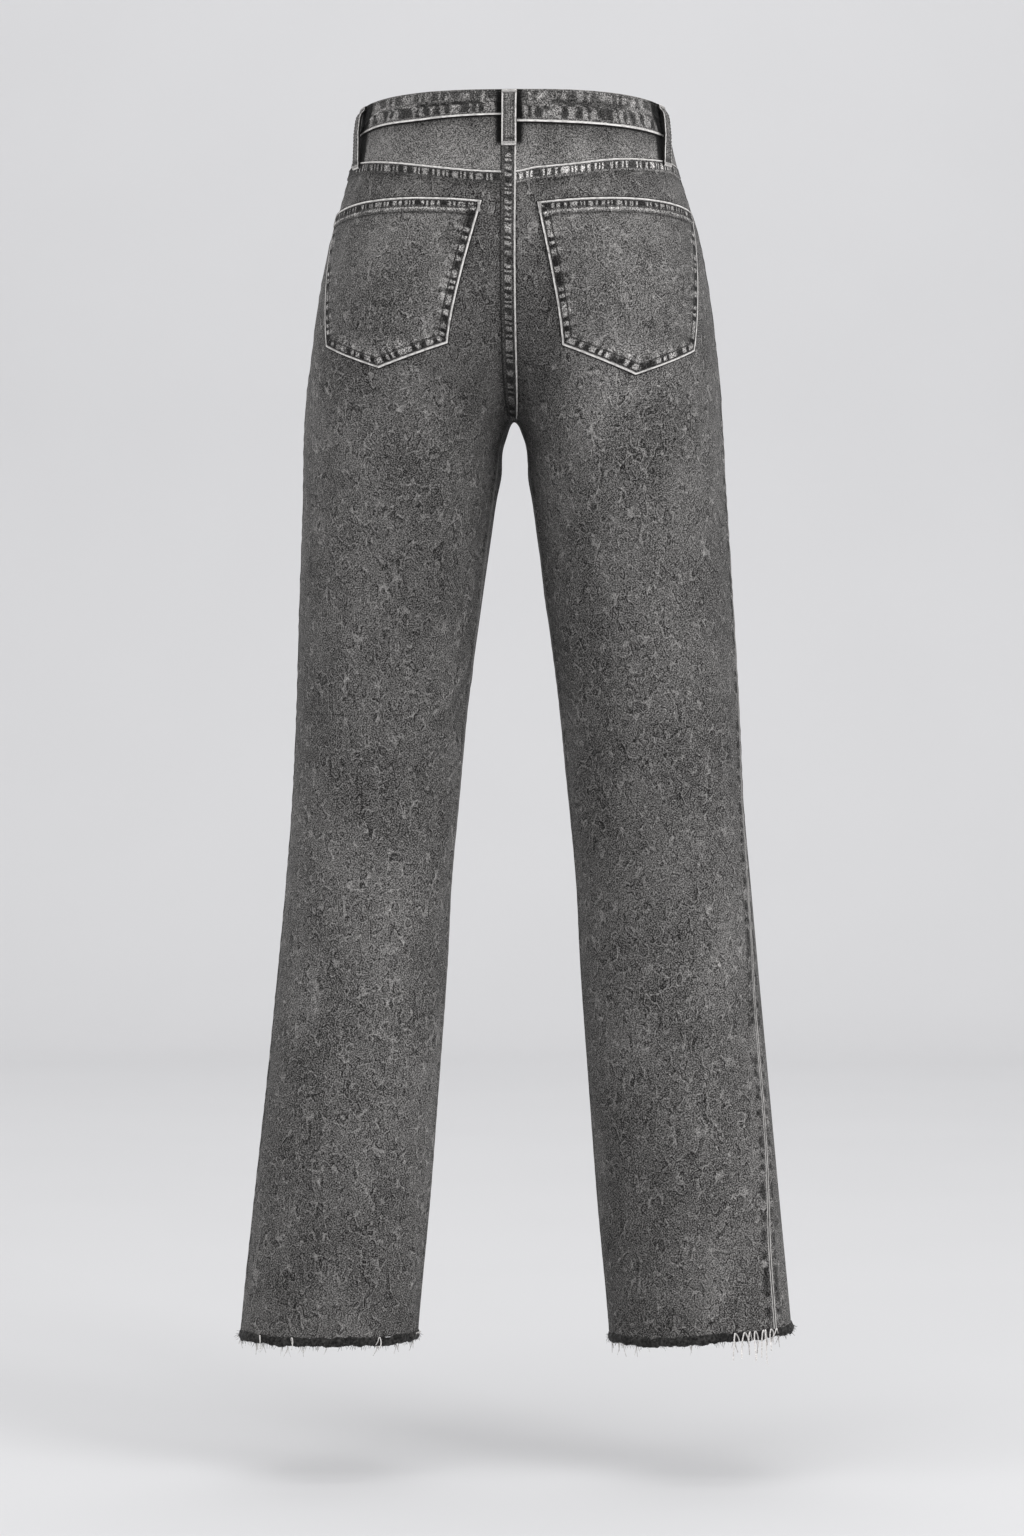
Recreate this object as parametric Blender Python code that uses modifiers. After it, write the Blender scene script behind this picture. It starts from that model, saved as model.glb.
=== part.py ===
"""High-rise straight-leg jeans with raw hems, in the hollow form they have when worn.

Units are metres. +Z is up, the front of the garment faces -Y and the wearer's left is +X.
The origin is the centre of the waist, half way up the waistband.

The cloth surface is worked out from one table of horizontal sections. Each leg is a lobe made of
four quarter superellipses; a smooth union of the two lobes, whose strength follows the centre
seam, makes the hips, the seat and the crotch. Every piece is a wall on that surface.
"""

from math import log, pi, radians, sqrt

import bmesh
import bpy
import numpy as np
from mathutils import Vector

# ---------------------------------------------------------------------------------------------
# Driving dimensions

BAND_TOP_BACK = 0.0145      # top edge of the waistband at the back, the sides and the front
BAND_TOP_SIDE = 0.0105
BAND_TOP_FRONT = 0.0080
BAND_BOTTOM_BACK = -0.0065  # its bottom edge: the band is creased and narrow at the back
BAND_BOTTOM_SIDE = -0.0170
BAND_SAG_RIGHT = 0.0056     # the edge hangs lower right of the back loop, and rises on the left
BAND_LIFT_LEFT = 0.0029
YOKE_BACK = -0.0510         # the yoke seam, a shallow V
YOKE_SIDE = -0.0360
YOKE_LIFT_RIGHT = 0.0028    # its right half arches a little more
CROTCH_HEIGHT = -0.2360
CROTCH_DEPTH = 0.0060       # where the crotch point lies, front to back
HEM_HEIGHT = -0.9620        # where the woven cloth ends and the frayed strip begins

SEAM_GAP = 0.0003           # between two pieces that are sewn together
PANEL_WALL = 0.0015
BAND_WALL = 0.0024
BAND_PROUD = 0.0009         # how far the band stands out of the yoke and the fronts
BAND_OVERLAP = 0.0080       # how far the left end passes the centre front
FACING_WALL = 0.0012
FACING_INSET = 0.0038       # how deep the pocket facing lies behind the front
POCKET_WALL = 0.0012
POCKET_GAP = 0.00045        # between a patch pocket and the panel under it
LOOP_WALL = 0.0018

SEAM_RAISE = 0.0008         # height of a felled or pressed seam
SEAM_BAND = 0.0060          # its half width
SEAM_SLOPE = 0.0025         # width of the slope beside it

# Horizontal sections of the cloth, top to bottom. outer_* and inner are the side and inseam
# edges of a leg lobe, measured from the centre plane (an inner edge below zero lies across it);
# middle and centre place the lobe's axis; back and front are its extremes; power squares it.
SECTION_COLUMNS = ("height", "outer_left", "outer_right", "inner", "middle", "back", "front",
                   "centre", "power")
SECTIONS = (
    (0.020, 0.1200, 0.1200, -0.0420, 0.0400, 0.0865, -0.0885, -0.0010, 2.15),
    (0.000, 0.1225, 0.1225, -0.0420, 0.0400, 0.0880, -0.0900, -0.0010, 2.15),
    (-0.030, 0.1285, 0.1285, -0.0380, 0.0420, 0.0940, -0.0930, 0.0000, 2.15),
    (-0.060, 0.1360, 0.1375, -0.0340, 0.0460, 0.1020, -0.0970, 0.0010, 2.20),
    (-0.090, 0.1448, 0.1468, -0.0280, 0.0520, 0.1080, -0.1010, 0.0020, 2.25),
    (-0.122, 0.1518, 0.1532, -0.0210, 0.0600, 0.1120, -0.1040, 0.0030, 2.30),
    (-0.155, 0.1572, 0.1580, -0.0135, 0.0680, 0.1110, -0.1055, 0.0030, 2.25),
    (-0.187, 0.1612, 0.1618, -0.0060, 0.0750, 0.1060, -0.1035, 0.0010, 2.20),
    (-0.212, 0.1648, 0.1645, 0.0015, 0.0800, 0.0995, -0.1010, -0.0010, 2.20),
    (-0.236, 0.1668, 0.1658, 0.0069, 0.0840, 0.0940, -0.0985, -0.0030, 2.15),
    (-0.250, 0.1676, 0.1668, 0.0104, 0.0870, 0.0915, -0.0970, -0.0040, 2.15),
    (-0.283, 0.1682, 0.1684, 0.0132, 0.0900, 0.0870, -0.0925, -0.0040, 2.10),
    (-0.315, 0.1690, 0.1704, 0.0170, 0.0925, 0.0835, -0.0885, -0.0040, 2.10),
    (-0.379, 0.1712, 0.1744, 0.0257, 0.0980, 0.0770, -0.0800, -0.0020, 2.10),
    (-0.475, 0.1738, 0.1800, 0.0384, 0.1060, 0.0700, -0.0700, 0.0000, 2.10),
    (-0.539, 0.1768, 0.1832, 0.0444, 0.1110, 0.0665, -0.0650, 0.0010, 2.10),
    (-0.603, 0.1816, 0.1888, 0.0504, 0.1160, 0.0645, -0.0600, 0.0020, 2.10),
    (-0.667, 0.1874, 0.1944, 0.0536, 0.1205, 0.0615, -0.0555, 0.0030, 2.10),
    (-0.763, 0.1968, 0.2032, 0.0604, 0.1285, 0.0585, -0.0495, 0.0050, 2.10),
    (-0.859, 0.2072, 0.2120, 0.0676, 0.1375, 0.0565, -0.0445, 0.0065, 2.10),
    (-0.955, 0.2170, 0.2210, 0.0764, 0.1465, 0.0565, -0.0410, 0.0080, 2.10),
    (-0.985, 0.2195, 0.2235, 0.0786, 0.1490, 0.0565, -0.0405, 0.0080, 2.10),
)

# The centre seam above the crotch: height over the crotch point, and the depth of the seam at
# the back and at the front.
RISE_COLUMNS = ("rise", "back", "front")
RISE = (
    (0.000, 0.0060, 0.0060),
    (0.005, 0.0260, -0.0130),
    (0.010, 0.0360, -0.0250),
    (0.020, 0.0520, -0.0420),
    (0.040, 0.0745, -0.0640),
    (0.060, 0.0895, -0.0790),
    (0.080, 0.0995, -0.0890),
    (0.110, 0.1075, -0.0980),
    (0.146, 0.1070, -0.1015),
    (0.176, 0.1015, -0.0980),
    (0.206, 0.0940, -0.0935),
    (0.236, 0.0885, -0.0905),
    (0.256, 0.0870, -0.0890),
)

# Depth of the side seams and of the inseam, which run a little behind the middle of the leg.
SEAM_COLUMNS = ("height", "side_left", "side_right", "inseam")
SEAMS = (
    (0.020, 0.004, 0.004, 0.006),
    (-0.100, 0.006, 0.006, 0.006),
    (-0.236, 0.004, 0.006, 0.006),
    (-0.260, 0.004, 0.006, 0.013),
    (-0.320, 0.003, 0.007, 0.019),
    (-0.400, 0.003, 0.010, 0.014),
    (-0.540, 0.005, 0.018, 0.008),
    (-0.700, 0.008, 0.028, 0.006),
    (-0.810, 0.009, 0.030, 0.006),
    (-0.900, 0.010, 0.036, 0.007),
    (-0.985, 0.010, 0.038, 0.008),
)

# Soft folds of the worn cloth, each along a line that runs from one point to another. A point is
# a distance along the cloth from the centre seam or inseam of that face, and a height.
LEFT, RIGHT = 1, -1
FOLD_FADE = 0.025           # folds fade out over this at the seams and below the pockets
FOLD_TOP = -0.215
FOLD_COLUMNS = ("side", "face", "start", "start_height", "to", "to_height", "width", "lift")
FOLDS = (
    (LEFT, "back", 0.112, -0.225, 0.062, -0.295, 0.013, 0.0024),
    (LEFT, "back", 0.058, -0.222, 0.050, -0.262, 0.010, 0.0016),
    (LEFT, "back", 0.140, -0.335, 0.122, -0.410, 0.022, 0.0018),
    (LEFT, "back", 0.124, -0.340, 0.076, -0.392, 0.015, -0.0018),
    (LEFT, "back", 0.122, -0.434, 0.076, -0.474, 0.020, 0.0016),
    (LEFT, "back", 0.150, -0.545, 0.050, -0.515, 0.020, -0.0022),
    (LEFT, "back", 0.060, -0.640, 0.150, -0.690, 0.026, 0.0014),
    (RIGHT, "back", 0.092, -0.222, 0.116, -0.276, 0.020, 0.0018),
    (RIGHT, "back", 0.058, -0.350, 0.066, -0.445, 0.022, -0.0018),
    (RIGHT, "back", 0.105, -0.385, 0.158, -0.446, 0.024, 0.0016),
    (RIGHT, "back", 0.055, -0.518, 0.140, -0.548, 0.020, -0.0022),
    (RIGHT, "back", 0.070, -0.700, 0.150, -0.655, 0.026, 0.0014),
    (LEFT, "front", 0.030, -0.246, 0.120, -0.228, 0.013, 0.0022),
    (LEFT, "front", 0.034, -0.276, 0.130, -0.262, 0.016, 0.0020),
    (LEFT, "front", 0.060, -0.520, 0.150, -0.550, 0.024, 0.0020),
    (RIGHT, "front", 0.030, -0.244, 0.116, -0.230, 0.013, 0.0022),
    (RIGHT, "front", 0.036, -0.280, 0.126, -0.264, 0.016, 0.0020),
    (RIGHT, "front", 0.060, -0.545, 0.150, -0.515, 0.024, 0.0020),
)

# ---------------------------------------------------------------------------------------------
# The cloth surface

LEVELS_BELOW = 260          # sections worked out below the crotch, and above it
LEVELS_ABOVE = 160
RING_POINTS = 161           # points round half a section
RAYS = 421
FAR = 0.30
CROTCH_ROW = [row[0] for row in SECTIONS].index(CROTCH_HEIGHT)
SMOOTH_CROTCH = SECTIONS[CROTCH_ROW][3] / log(2.0)   # the union's strength at the crotch point
HALF_STEP = 0.001           # for the gradient
SIDE_NAMES = {LEFT: "left", RIGHT: "right"}


def smooth_columns(rows, names, key, wanted):
    """Each named column as a smooth curve through its rows, read at the wanted keys."""
    table = {name: np.array([row[i] for row in rows]) for i, name in enumerate(names)}
    order = np.argsort(table[key])
    knots = table[key][order]
    cell = np.clip(np.searchsorted(knots, wanted) - 1, 0, len(knots) - 2)
    width = knots[cell + 1] - knots[cell]
    f = np.clip((wanted - knots[cell]) / width, 0.0, 1.0)
    curves = {}
    for name in names:
        if name == key:
            continue
        values = table[name][order]
        slopes = np.gradient(values, knots)
        curves[name] = ((1 + 2 * f) * (1 - f) ** 2 * values[cell]
                        + f * (1 - f) ** 2 * width * slopes[cell]
                        + f * f * (3 - 2 * f) * values[cell + 1]
                        - f * f * (1 - f) * width * slopes[cell + 1])
    return curves


FINE = np.arange(-0.990, 0.0225, 0.0005)
LOBES = smooth_columns(SECTIONS, SECTION_COLUMNS, "height", FINE)
SEAM_LINES = smooth_columns(SEAMS, SEAM_COLUMNS, "height", FINE)
RISE_ROOTS = [(sqrt(row[0]),) + row[1:] for row in RISE]
CENTRE_SEAM = smooth_columns(RISE_ROOTS, RISE_COLUMNS, "rise",
                             np.sqrt(np.maximum(FINE - CROTCH_HEIGHT, 0.0)))


def at_height(curve, height):
    return np.interp(height, FINE, curve)


def lobe_distance(x, y, height, outer):
    """How far a point lies outside one leg lobe, measured along the ray from its axis."""
    middle = at_height(LOBES["middle"], height)
    centre = at_height(LOBES["centre"], height)
    power = at_height(LOBES["power"], height)
    across = np.where(x > middle, at_height(LOBES[outer], height) - middle,
                      middle - at_height(LOBES["inner"], height))
    deep = np.where(y > centre, at_height(LOBES["back"], height) - centre,
                    centre - at_height(LOBES["front"], height))
    reach = (np.abs((x - middle) / across) ** power
             + np.abs((y - centre) / deep) ** power) ** (1.0 / power)
    return np.hypot(x - middle, y - centre) * (1.0 - 1.0 / np.maximum(reach, 0.05))


def union_strengths():
    """The smooth union's strength that puts the centre seam where RISE says, back and front."""
    strengths = {}
    for face in ("back", "front"):
        away = lobe_distance(np.zeros_like(FINE), CENTRE_SEAM[face], FINE, "outer_left")
        strengths[face] = np.where(FINE > CROTCH_HEIGHT, away / log(2.0), SMOOTH_CROTCH)
    return strengths


STRENGTHS = union_strengths()


def outside(x, y, height):
    """Signed distance, roughly, from the cloth: negative within the garment."""
    blend = np.clip((y - CROTCH_DEPTH) / 0.030 + 0.5, 0.0, 1.0)
    strength = (at_height(STRENGTHS["back"], height) * blend
                + at_height(STRENGTHS["front"], height) * (1.0 - blend))
    left = lobe_distance(x, y, height, "outer_left")
    right = lobe_distance(-x, y, height, "outer_right")
    near = np.minimum(left, right)
    return near - strength * np.log(np.exp((near - left) / strength)
                                    + np.exp((near - right) / strength))


def section_heights():
    """Heights of the sections, as rise roots: close together at the crotch."""
    below = np.linspace(-sqrt(CROTCH_HEIGHT - FINE[0] - HALF_STEP), 0.0, LEVELS_BELOW + 1)
    above = np.linspace(0.0, sqrt(FINE[-1] - HALF_STEP - CROTCH_HEIGHT), LEVELS_ABOVE + 1)
    return np.concatenate((below, above[1:]))


def half_rings(side):
    """Points, normals and length of half of every section, from the back seam or inseam
    round the side to the front seam or the inseam again."""
    heights = CROTCH_HEIGHT + np.sign(ROOTS) * ROOTS ** 2
    middle = at_height(LOBES["middle"], heights)
    centre = at_height(LOBES["centre"], heights)
    whole = ROOTS >= 0.0
    inseam = at_height(SEAM_LINES["inseam"], heights)
    start_x = np.where(whole, 0.0, at_height(LOBES["inner"], heights))
    start_y = np.where(whole, at_height(CENTRE_SEAM["back"], heights), inseam)
    end_y = np.where(whole, at_height(CENTRE_SEAM["front"], heights), inseam)
    first = np.mod(np.arctan2(start_y - centre, start_x - middle), 2 * pi)
    last = np.mod(np.arctan2(end_y - centre, start_x - middle), 2 * pi) - 2 * pi
    part = np.linspace(0.0, 1.0, RAYS)
    part = part - 0.85 * np.sin(2 * pi * part) / (2 * pi)
    angle = first[:, None] + (last - first)[:, None] * part
    inward = np.maximum(-np.cos(angle), 0.01)
    near = np.zeros_like(angle)
    far = np.minimum(np.where(inward > 0.01, middle[:, None] / inward, FAR), FAR)
    level = np.broadcast_to(heights[:, None], angle.shape)
    for _ in range(34):
        reach = (near + far) / 2
        x = middle[:, None] + reach * np.cos(angle)
        y = centre[:, None] + reach * np.sin(angle)
        out = outside(side * x, y, level) > 0.0
        far = np.where(out, reach, far)
        near = np.where(out, near, reach)
    x = np.maximum(middle[:, None] + near * np.cos(angle), 0.0)
    y = centre[:, None] + near * np.sin(angle)
    x[whole, 0] = x[whole, -1] = 0.0
    y[whole, 0], y[whole, -1] = start_y[whole], end_y[whole]
    along = np.cumsum(np.hypot(np.diff(x, prepend=x[:, :1]), np.diff(y, prepend=y[:, :1])), axis=1)
    ring = np.linspace(0.0, 1.0, RING_POINTS)
    points = np.empty((len(heights), RING_POINTS, 3))
    for row, length in enumerate(along[:, -1]):
        points[row, :, 0] = side * np.interp(ring * length, along[row], x[row])
        points[row, :, 1] = np.interp(ring * length, along[row], y[row])
        points[row, :, 2] = heights[row]
    return points, outward(points), along[:, -1]


def outward(points):
    """Unit normals of the cloth surface at points on it."""
    gradient = np.empty_like(points)
    for axis in range(3):
        step = np.zeros(3)
        step[axis] = HALF_STEP
        ahead, behind = points + step, points - step
        gradient[..., axis] = (outside(ahead[..., 0], ahead[..., 1], ahead[..., 2])
                               - outside(behind[..., 0], behind[..., 1], behind[..., 2]))
    return gradient / np.linalg.norm(gradient, axis=-1, keepdims=True)


ROOTS = section_heights()
RINGS = {side: half_rings(side) for side in (LEFT, RIGHT)}


def root_of(height):
    above = height - CROTCH_HEIGHT
    return np.sign(above) * np.sqrt(np.abs(above))


def read_rings(table, u, height):
    """Reads one table of the rings between its sections and its points."""
    row = np.clip(np.interp(root_of(height), ROOTS, np.arange(len(ROOTS))), 0, len(ROOTS) - 1.001)
    column = np.clip(u, 0.0, 1.0) * (RING_POINTS - 1.001)
    i, j = row.astype(int), column.astype(int)
    f, g = (row - i)[..., None], (column - j)[..., None]
    return ((1 - f) * ((1 - g) * table[i, j] + g * table[i, j + 1])
            + f * ((1 - g) * table[i + 1, j] + g * table[i + 1, j + 1]))


def half_length(side, height):
    """Length of half a section, measured along the cloth."""
    return np.interp(root_of(height), ROOTS, RINGS[side][2])


def side_seam(side, height):
    """Where the side seam lies, as a share of the way from the back seam to the front one."""
    return np.interp(root_of(height), ROOTS, SIDE_SEAMS[side])


def find_side_seam(side):
    points, _, _ = RINGS[side]
    line = at_height(SEAM_LINES["side_" + SIDE_NAMES[side]], points[:, 0, 2])
    shares = np.linspace(0.0, 1.0, RING_POINTS)
    found = []
    for ring, depth in zip(points, line):
        widest = int(np.argmax(side * ring[:, 0]))
        outer = slice(max(widest - 40, 0), widest + 40)
        found.append(np.interp(-depth, -ring[outer, 1], shares[outer]))
    return np.array(found)


SIDE_SEAMS = {side: find_side_seam(side) for side in (LEFT, RIGHT)}


def cloth(side, u, height, raised):
    """Points of the cloth, moved out by raised, with u the share of the way round."""
    points, normals, _ = RINGS[side]
    u, height = np.broadcast_arrays(np.asarray(u, float), np.asarray(height, float))
    normal = read_rings(normals, u, height)
    normal = normal / np.linalg.norm(normal, axis=-1, keepdims=True)
    raised = raised + fold_relief(side, u, height)
    return read_rings(points, u, height) + normal * raised[..., None]


def soft_step(value):
    value = np.clip(value, 0.0, 1.0)
    return value * value * (3.0 - 2.0 * value)


def fold_relief(side, u, height):
    """How far the soft folds of the worn cloth stand out. They fade out at the inner seams."""
    length = half_length(side, height)
    relief = np.zeros(np.shape(u))
    for row in FOLDS:
        fold = dict(zip(FOLD_COLUMNS, row))
        if fold["side"] != side:
            continue
        across = (u if fold["face"] == "back" else 1.0 - u) * length
        run = fold["to"] - fold["start"]
        climb = fold["to_height"] - fold["start_height"]
        reach = run * run + climb * climb
        part = ((across - fold["start"]) * run + (height - fold["start_height"]) * climb) / reach
        part = np.clip(part, 0.0, 1.0)
        away = np.hypot(across - fold["start"] - part * run,
                        height - fold["start_height"] - part * climb)
        fade = soft_step(across / FOLD_FADE) * soft_step((FOLD_TOP - height) / FOLD_FADE)
        relief = relief + fold["lift"] * np.exp(-(away / fold["width"]) ** 2) * fade
    return relief


def cloth_from_back(distance, height, raised):
    """Points of the cloth at a distance along it from the centre back: positive on the left."""
    distance, height, raised = np.broadcast_arrays(distance, height, raised)
    length = half_length(LEFT, height)
    on_left = cloth(LEFT, np.abs(distance) / length, height, raised)
    on_right = cloth(RIGHT, np.abs(distance) / length, height, raised)
    return np.where((distance >= 0.0)[..., None], on_left, on_right)


# The band's edge steps down behind the back loop, over this share of the way round to each side.
JOG_SHARE = SEAM_BAND / float(half_length(LEFT, YOKE_SIDE))


def band_top(u):
    return (BAND_TOP_BACK + (BAND_TOP_SIDE - BAND_TOP_BACK) * soft_step(u / 0.5)
            + (BAND_TOP_FRONT - BAND_TOP_SIDE) * soft_step((u - 0.5) / 0.5))


def band_bottom(side, u):
    signed = side * np.asarray(u)
    even = BAND_BOTTOM_BACK + (BAND_BOTTOM_SIDE - BAND_BOTTOM_BACK) * soft_step(u / 0.5)
    jog = np.clip((JOG_SHARE - signed) / (2 * JOG_SHARE), 0.0, 1.0)
    sag = BAND_SAG_RIGHT * jog * (1.0 - soft_step((u - 0.08) / 0.37))
    lift = BAND_LIFT_LEFT * soft_step((signed - 0.18) / 0.15) * (1.0 - soft_step((signed - 0.38) / 0.12))
    return even - sag + lift


def yoke_line(side, u):
    even = YOKE_BACK + (YOKE_SIDE - YOKE_BACK) * soft_step((u - 0.025) / 0.375)
    arch = soft_step((-side * np.asarray(u) - 0.01) / 0.05) * (1.0 - soft_step((u - 0.19) / 0.15))
    return even + YOKE_LIFT_RIGHT * arch


def seam_relief(distance):
    """How far a sewn seam raises the cloth beside it."""
    return SEAM_RAISE * (1.0 - np.clip((distance - SEAM_BAND) / SEAM_SLOPE, 0.0, 1.0))


# ---------------------------------------------------------------------------------------------
# Making objects

def make_material(name, colour, roughness, metallic=0.0):
    material = bpy.data.materials.new(name)
    material.use_nodes = True
    shader = material.node_tree.nodes["Principled BSDF"]
    shader.inputs["Base Color"].default_value = (*colour, 1.0)
    shader.inputs["Roughness"].default_value = roughness
    shader.inputs["Metallic"].default_value = metallic
    return material


def add_object(name, bm, material):
    bmesh.ops.recalc_face_normals(bm, faces=bm.faces)
    mesh = bpy.data.meshes.new(name)
    bm.to_mesh(mesh)
    bm.free()
    mesh.materials.append(material)
    mesh.shade_smooth()
    mesh.set_sharp_from_angle(angle=radians(40.0))
    piece = bpy.data.objects.new(name, mesh)
    piece.parent = GARMENT
    COLLECTION.objects.link(piece)
    return piece


def add_wall(name, outer, inner, material):
    """A closed wall between two grids of points."""
    bm = bmesh.new()
    rows, columns = outer.shape[:2]
    front = [[bm.verts.new(point) for point in row] for row in outer]
    behind = [[bm.verts.new(point) for point in row] for row in inner]
    for i in range(rows - 1):
        for j in range(columns - 1):
            for face in (front, behind):
                bm.faces.new((face[i][j], face[i + 1][j], face[i + 1][j + 1], face[i][j + 1]))
    edge = ([(0, j) for j in range(columns)] + [(i, columns - 1) for i in range(1, rows)]
            + [(rows - 1, j) for j in range(columns - 2, -1, -1)]
            + [(i, 0) for i in range(rows - 2, 0, -1)])
    for (i, j), (k, m) in zip(edge, edge[1:] + edge[:1]):
        bm.faces.new((front[i][j], front[k][m], behind[k][m], behind[i][j]))
    return add_object(name, bm, material)


# ---------------------------------------------------------------------------------------------
# Leg panels

PANEL_COLUMNS = 9           # between the raised seam bands
RISE_ROWS = 11              # between the top of a panel and the crotch
ROWS_BELOW = (0.0025, 0.007, 0.014, 0.025, 0.042, 0.065, 0.095)   # inseam rows by the crotch
LEG_ROWS = 15               # below those
CROTCH_SIDE = -0.2450       # height of the crotch row at the side seam
SCOOP_TOP = 0.0880          # front pocket opening: its top, measured from the centre front,
SCOOP_BOTTOM = -0.1000      # and where it meets the side seam
SCOOP_ROWS = 6
FACING_OVERLAP = 0.0150     # how far the facing runs on behind the front
FACING_BELOW = 0.0120       # and below the pocket opening
FACING_LEVEL = 0.0040       # it starts to sink this far from the opening's edge,
FACING_SINK = 0.0300        # over this width
FACING_ROWS = 7
FACING_COLUMNS = 9


def column_shares(length):
    """Shares of a row's length, with rows of points at the edges of its seam bands."""
    slope = SEAM_BAND + SEAM_SLOPE
    middle = np.linspace(0.0, 1.0, PANEL_COLUMNS + 1) ** 1.1
    middle = slope + (length - 2 * slope) * middle
    return np.concatenate(([SEAM_GAP / 2, SEAM_BAND], middle,
                           [length - SEAM_BAND, length - SEAM_GAP / 2])) / length


def heights_below_crotch():
    near = np.array(ROWS_BELOW)
    rest = np.linspace(near[-1], CROTCH_HEIGHT - HEM_HEIGHT, LEG_ROWS + 1)[1:]
    inner = CROTCH_HEIGHT - np.concatenate((near, rest))
    outer = np.linspace(CROTCH_SIDE, HEM_HEIGHT, len(inner) + 1)[1:]
    return inner, outer


def heights_above_crotch(top, face):
    """Heights down a centre seam, evenly spaced along it from its top to the crotch."""
    heights = np.linspace(sqrt(top - CROTCH_HEIGHT), 0.0, 200) ** 2 + CROTCH_HEIGHT
    depth = at_height(CENTRE_SEAM[face], heights)
    along = np.concatenate(([0.0], np.cumsum(np.hypot(np.diff(heights), np.diff(depth)))))
    return np.interp(np.linspace(0.0, along[-1], RISE_ROWS + 1), along, heights)


def panel_relief(side, u, height, inner_distance):
    length = half_length(side, height)
    side_distance = np.abs(u - side_seam(side, height)) * length
    return np.maximum(seam_relief(inner_distance), seam_relief(side_distance))


def add_panel(name, side, u, height, relief, material, outset=0.0, wall=PANEL_WALL):
    outer = cloth(side, u, height, relief + outset)
    inner = cloth(side, u, height, np.zeros_like(u) + outset - wall)
    return add_wall(name, outer, inner, material)


def add_back(side):
    inner_below, outer_below = heights_below_crotch()
    inner_above = heights_above_crotch(YOKE_BACK, "back")
    outer_above = np.linspace(YOKE_SIDE, CROTCH_SIDE, RISE_ROWS + 1)
    lap = 2 * SEAM_BAND
    lap_drops = np.array((0.0, lap, lap + SEAM_SLOPE))
    inner = np.concatenate((YOKE_BACK - lap_drops, inner_above[1:], inner_below))
    outer = np.concatenate((YOKE_SIDE - lap_drops, outer_above[1:], outer_below))
    rows, shares = [], []
    for row, (inner_height, outer_height) in enumerate(zip(inner, outer)):
        length = side_seam(side, outer_height) * half_length(side, outer_height)
        share = column_shares(length)
        height = inner_height + (outer_height - inner_height) * share
        u = share * side_seam(side, height)
        if row < len(lap_drops):
            height = yoke_line(side, u) - SEAM_GAP / 2 - lap_drops[row]
            u = share * side_seam(side, height)
        rows.append(height)
        shares.append(u)
    height, u = np.array(rows), np.array(shares)
    relief = panel_relief(side, u, height, u * half_length(side, height))
    below_yoke = yoke_line(side, u) - height
    lap_relief = SEAM_RAISE * (1.0 - np.clip((below_yoke - lap) / SEAM_SLOPE, 0.0, 1.0))
    add_panel("back_" + SIDE_NAMES[side], side, u, height, np.maximum(relief, lap_relief), DENIM)


def add_yoke(side):
    length = side_seam(side, YOKE_SIDE) * half_length(side, YOKE_SIDE)
    share = column_shares(length)
    rows, shares = [], []
    for down in np.linspace(0.0, 1.0, 4):
        u = share * side_seam(side, YOKE_SIDE)
        top = band_bottom(side, u) - SEAM_GAP
        height = top + (yoke_line(side, u) + SEAM_GAP / 2 - top) * down
        rows.append(height)
        shares.append(share * side_seam(side, height))
    height, u = np.array(rows), np.array(shares)
    relief = panel_relief(side, u, height, u * half_length(side, height))
    add_panel("yoke_" + SIDE_NAMES[side], side, u, height, relief, DENIM_LIGHT)


def scoop(side, turn):
    """The edge of the front pocket opening: turn runs from the waistband to the side seam."""
    top_u = 1.0 - SCOOP_TOP / half_length(side, BAND_BOTTOM_SIDE)
    side_u = side_seam(side, SCOOP_BOTTOM)
    height = BAND_BOTTOM_SIDE - SEAM_GAP + (SCOOP_BOTTOM - BAND_BOTTOM_SIDE) * np.sin(turn)
    return top_u + (side_u - top_u) * (1.0 - np.cos(turn)), height


def add_front(side):
    inner_below, outer_below = heights_below_crotch()
    inner_above = heights_above_crotch(BAND_BOTTOM_SIDE - SEAM_GAP, "front")
    scoop_u, scoop_height = scoop(side, np.linspace(0.0, pi / 2, SCOOP_ROWS + 1))
    outer_above = np.linspace(scoop_height[-1], CROTCH_SIDE, RISE_ROWS - SCOOP_ROWS + 1)[1:]
    inner = np.concatenate((inner_above, inner_below))
    outer = np.concatenate((scoop_height, outer_above, outer_below))
    outer_u = side_seam(side, outer)
    outer_u[:SCOOP_ROWS + 1] = scoop_u
    rows, shares = [], []
    for inner_height, outer_height, edge in zip(inner, outer, outer_u):
        length = (1.0 - edge) * half_length(side, outer_height)
        share = column_shares(length)
        height = inner_height + (outer_height - inner_height) * share
        reach = 1.0 - edge
        if edge == side_seam(side, outer_height):
            reach = 1.0 - side_seam(side, height)
        rows.append(height)
        shares.append(1.0 - share * reach)
    height, u = np.array(rows), np.array(shares)
    relief = panel_relief(side, u, height, (1.0 - u) * half_length(side, height))
    add_panel("front_" + SIDE_NAMES[side], side, u, height, relief, DENIM)


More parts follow.
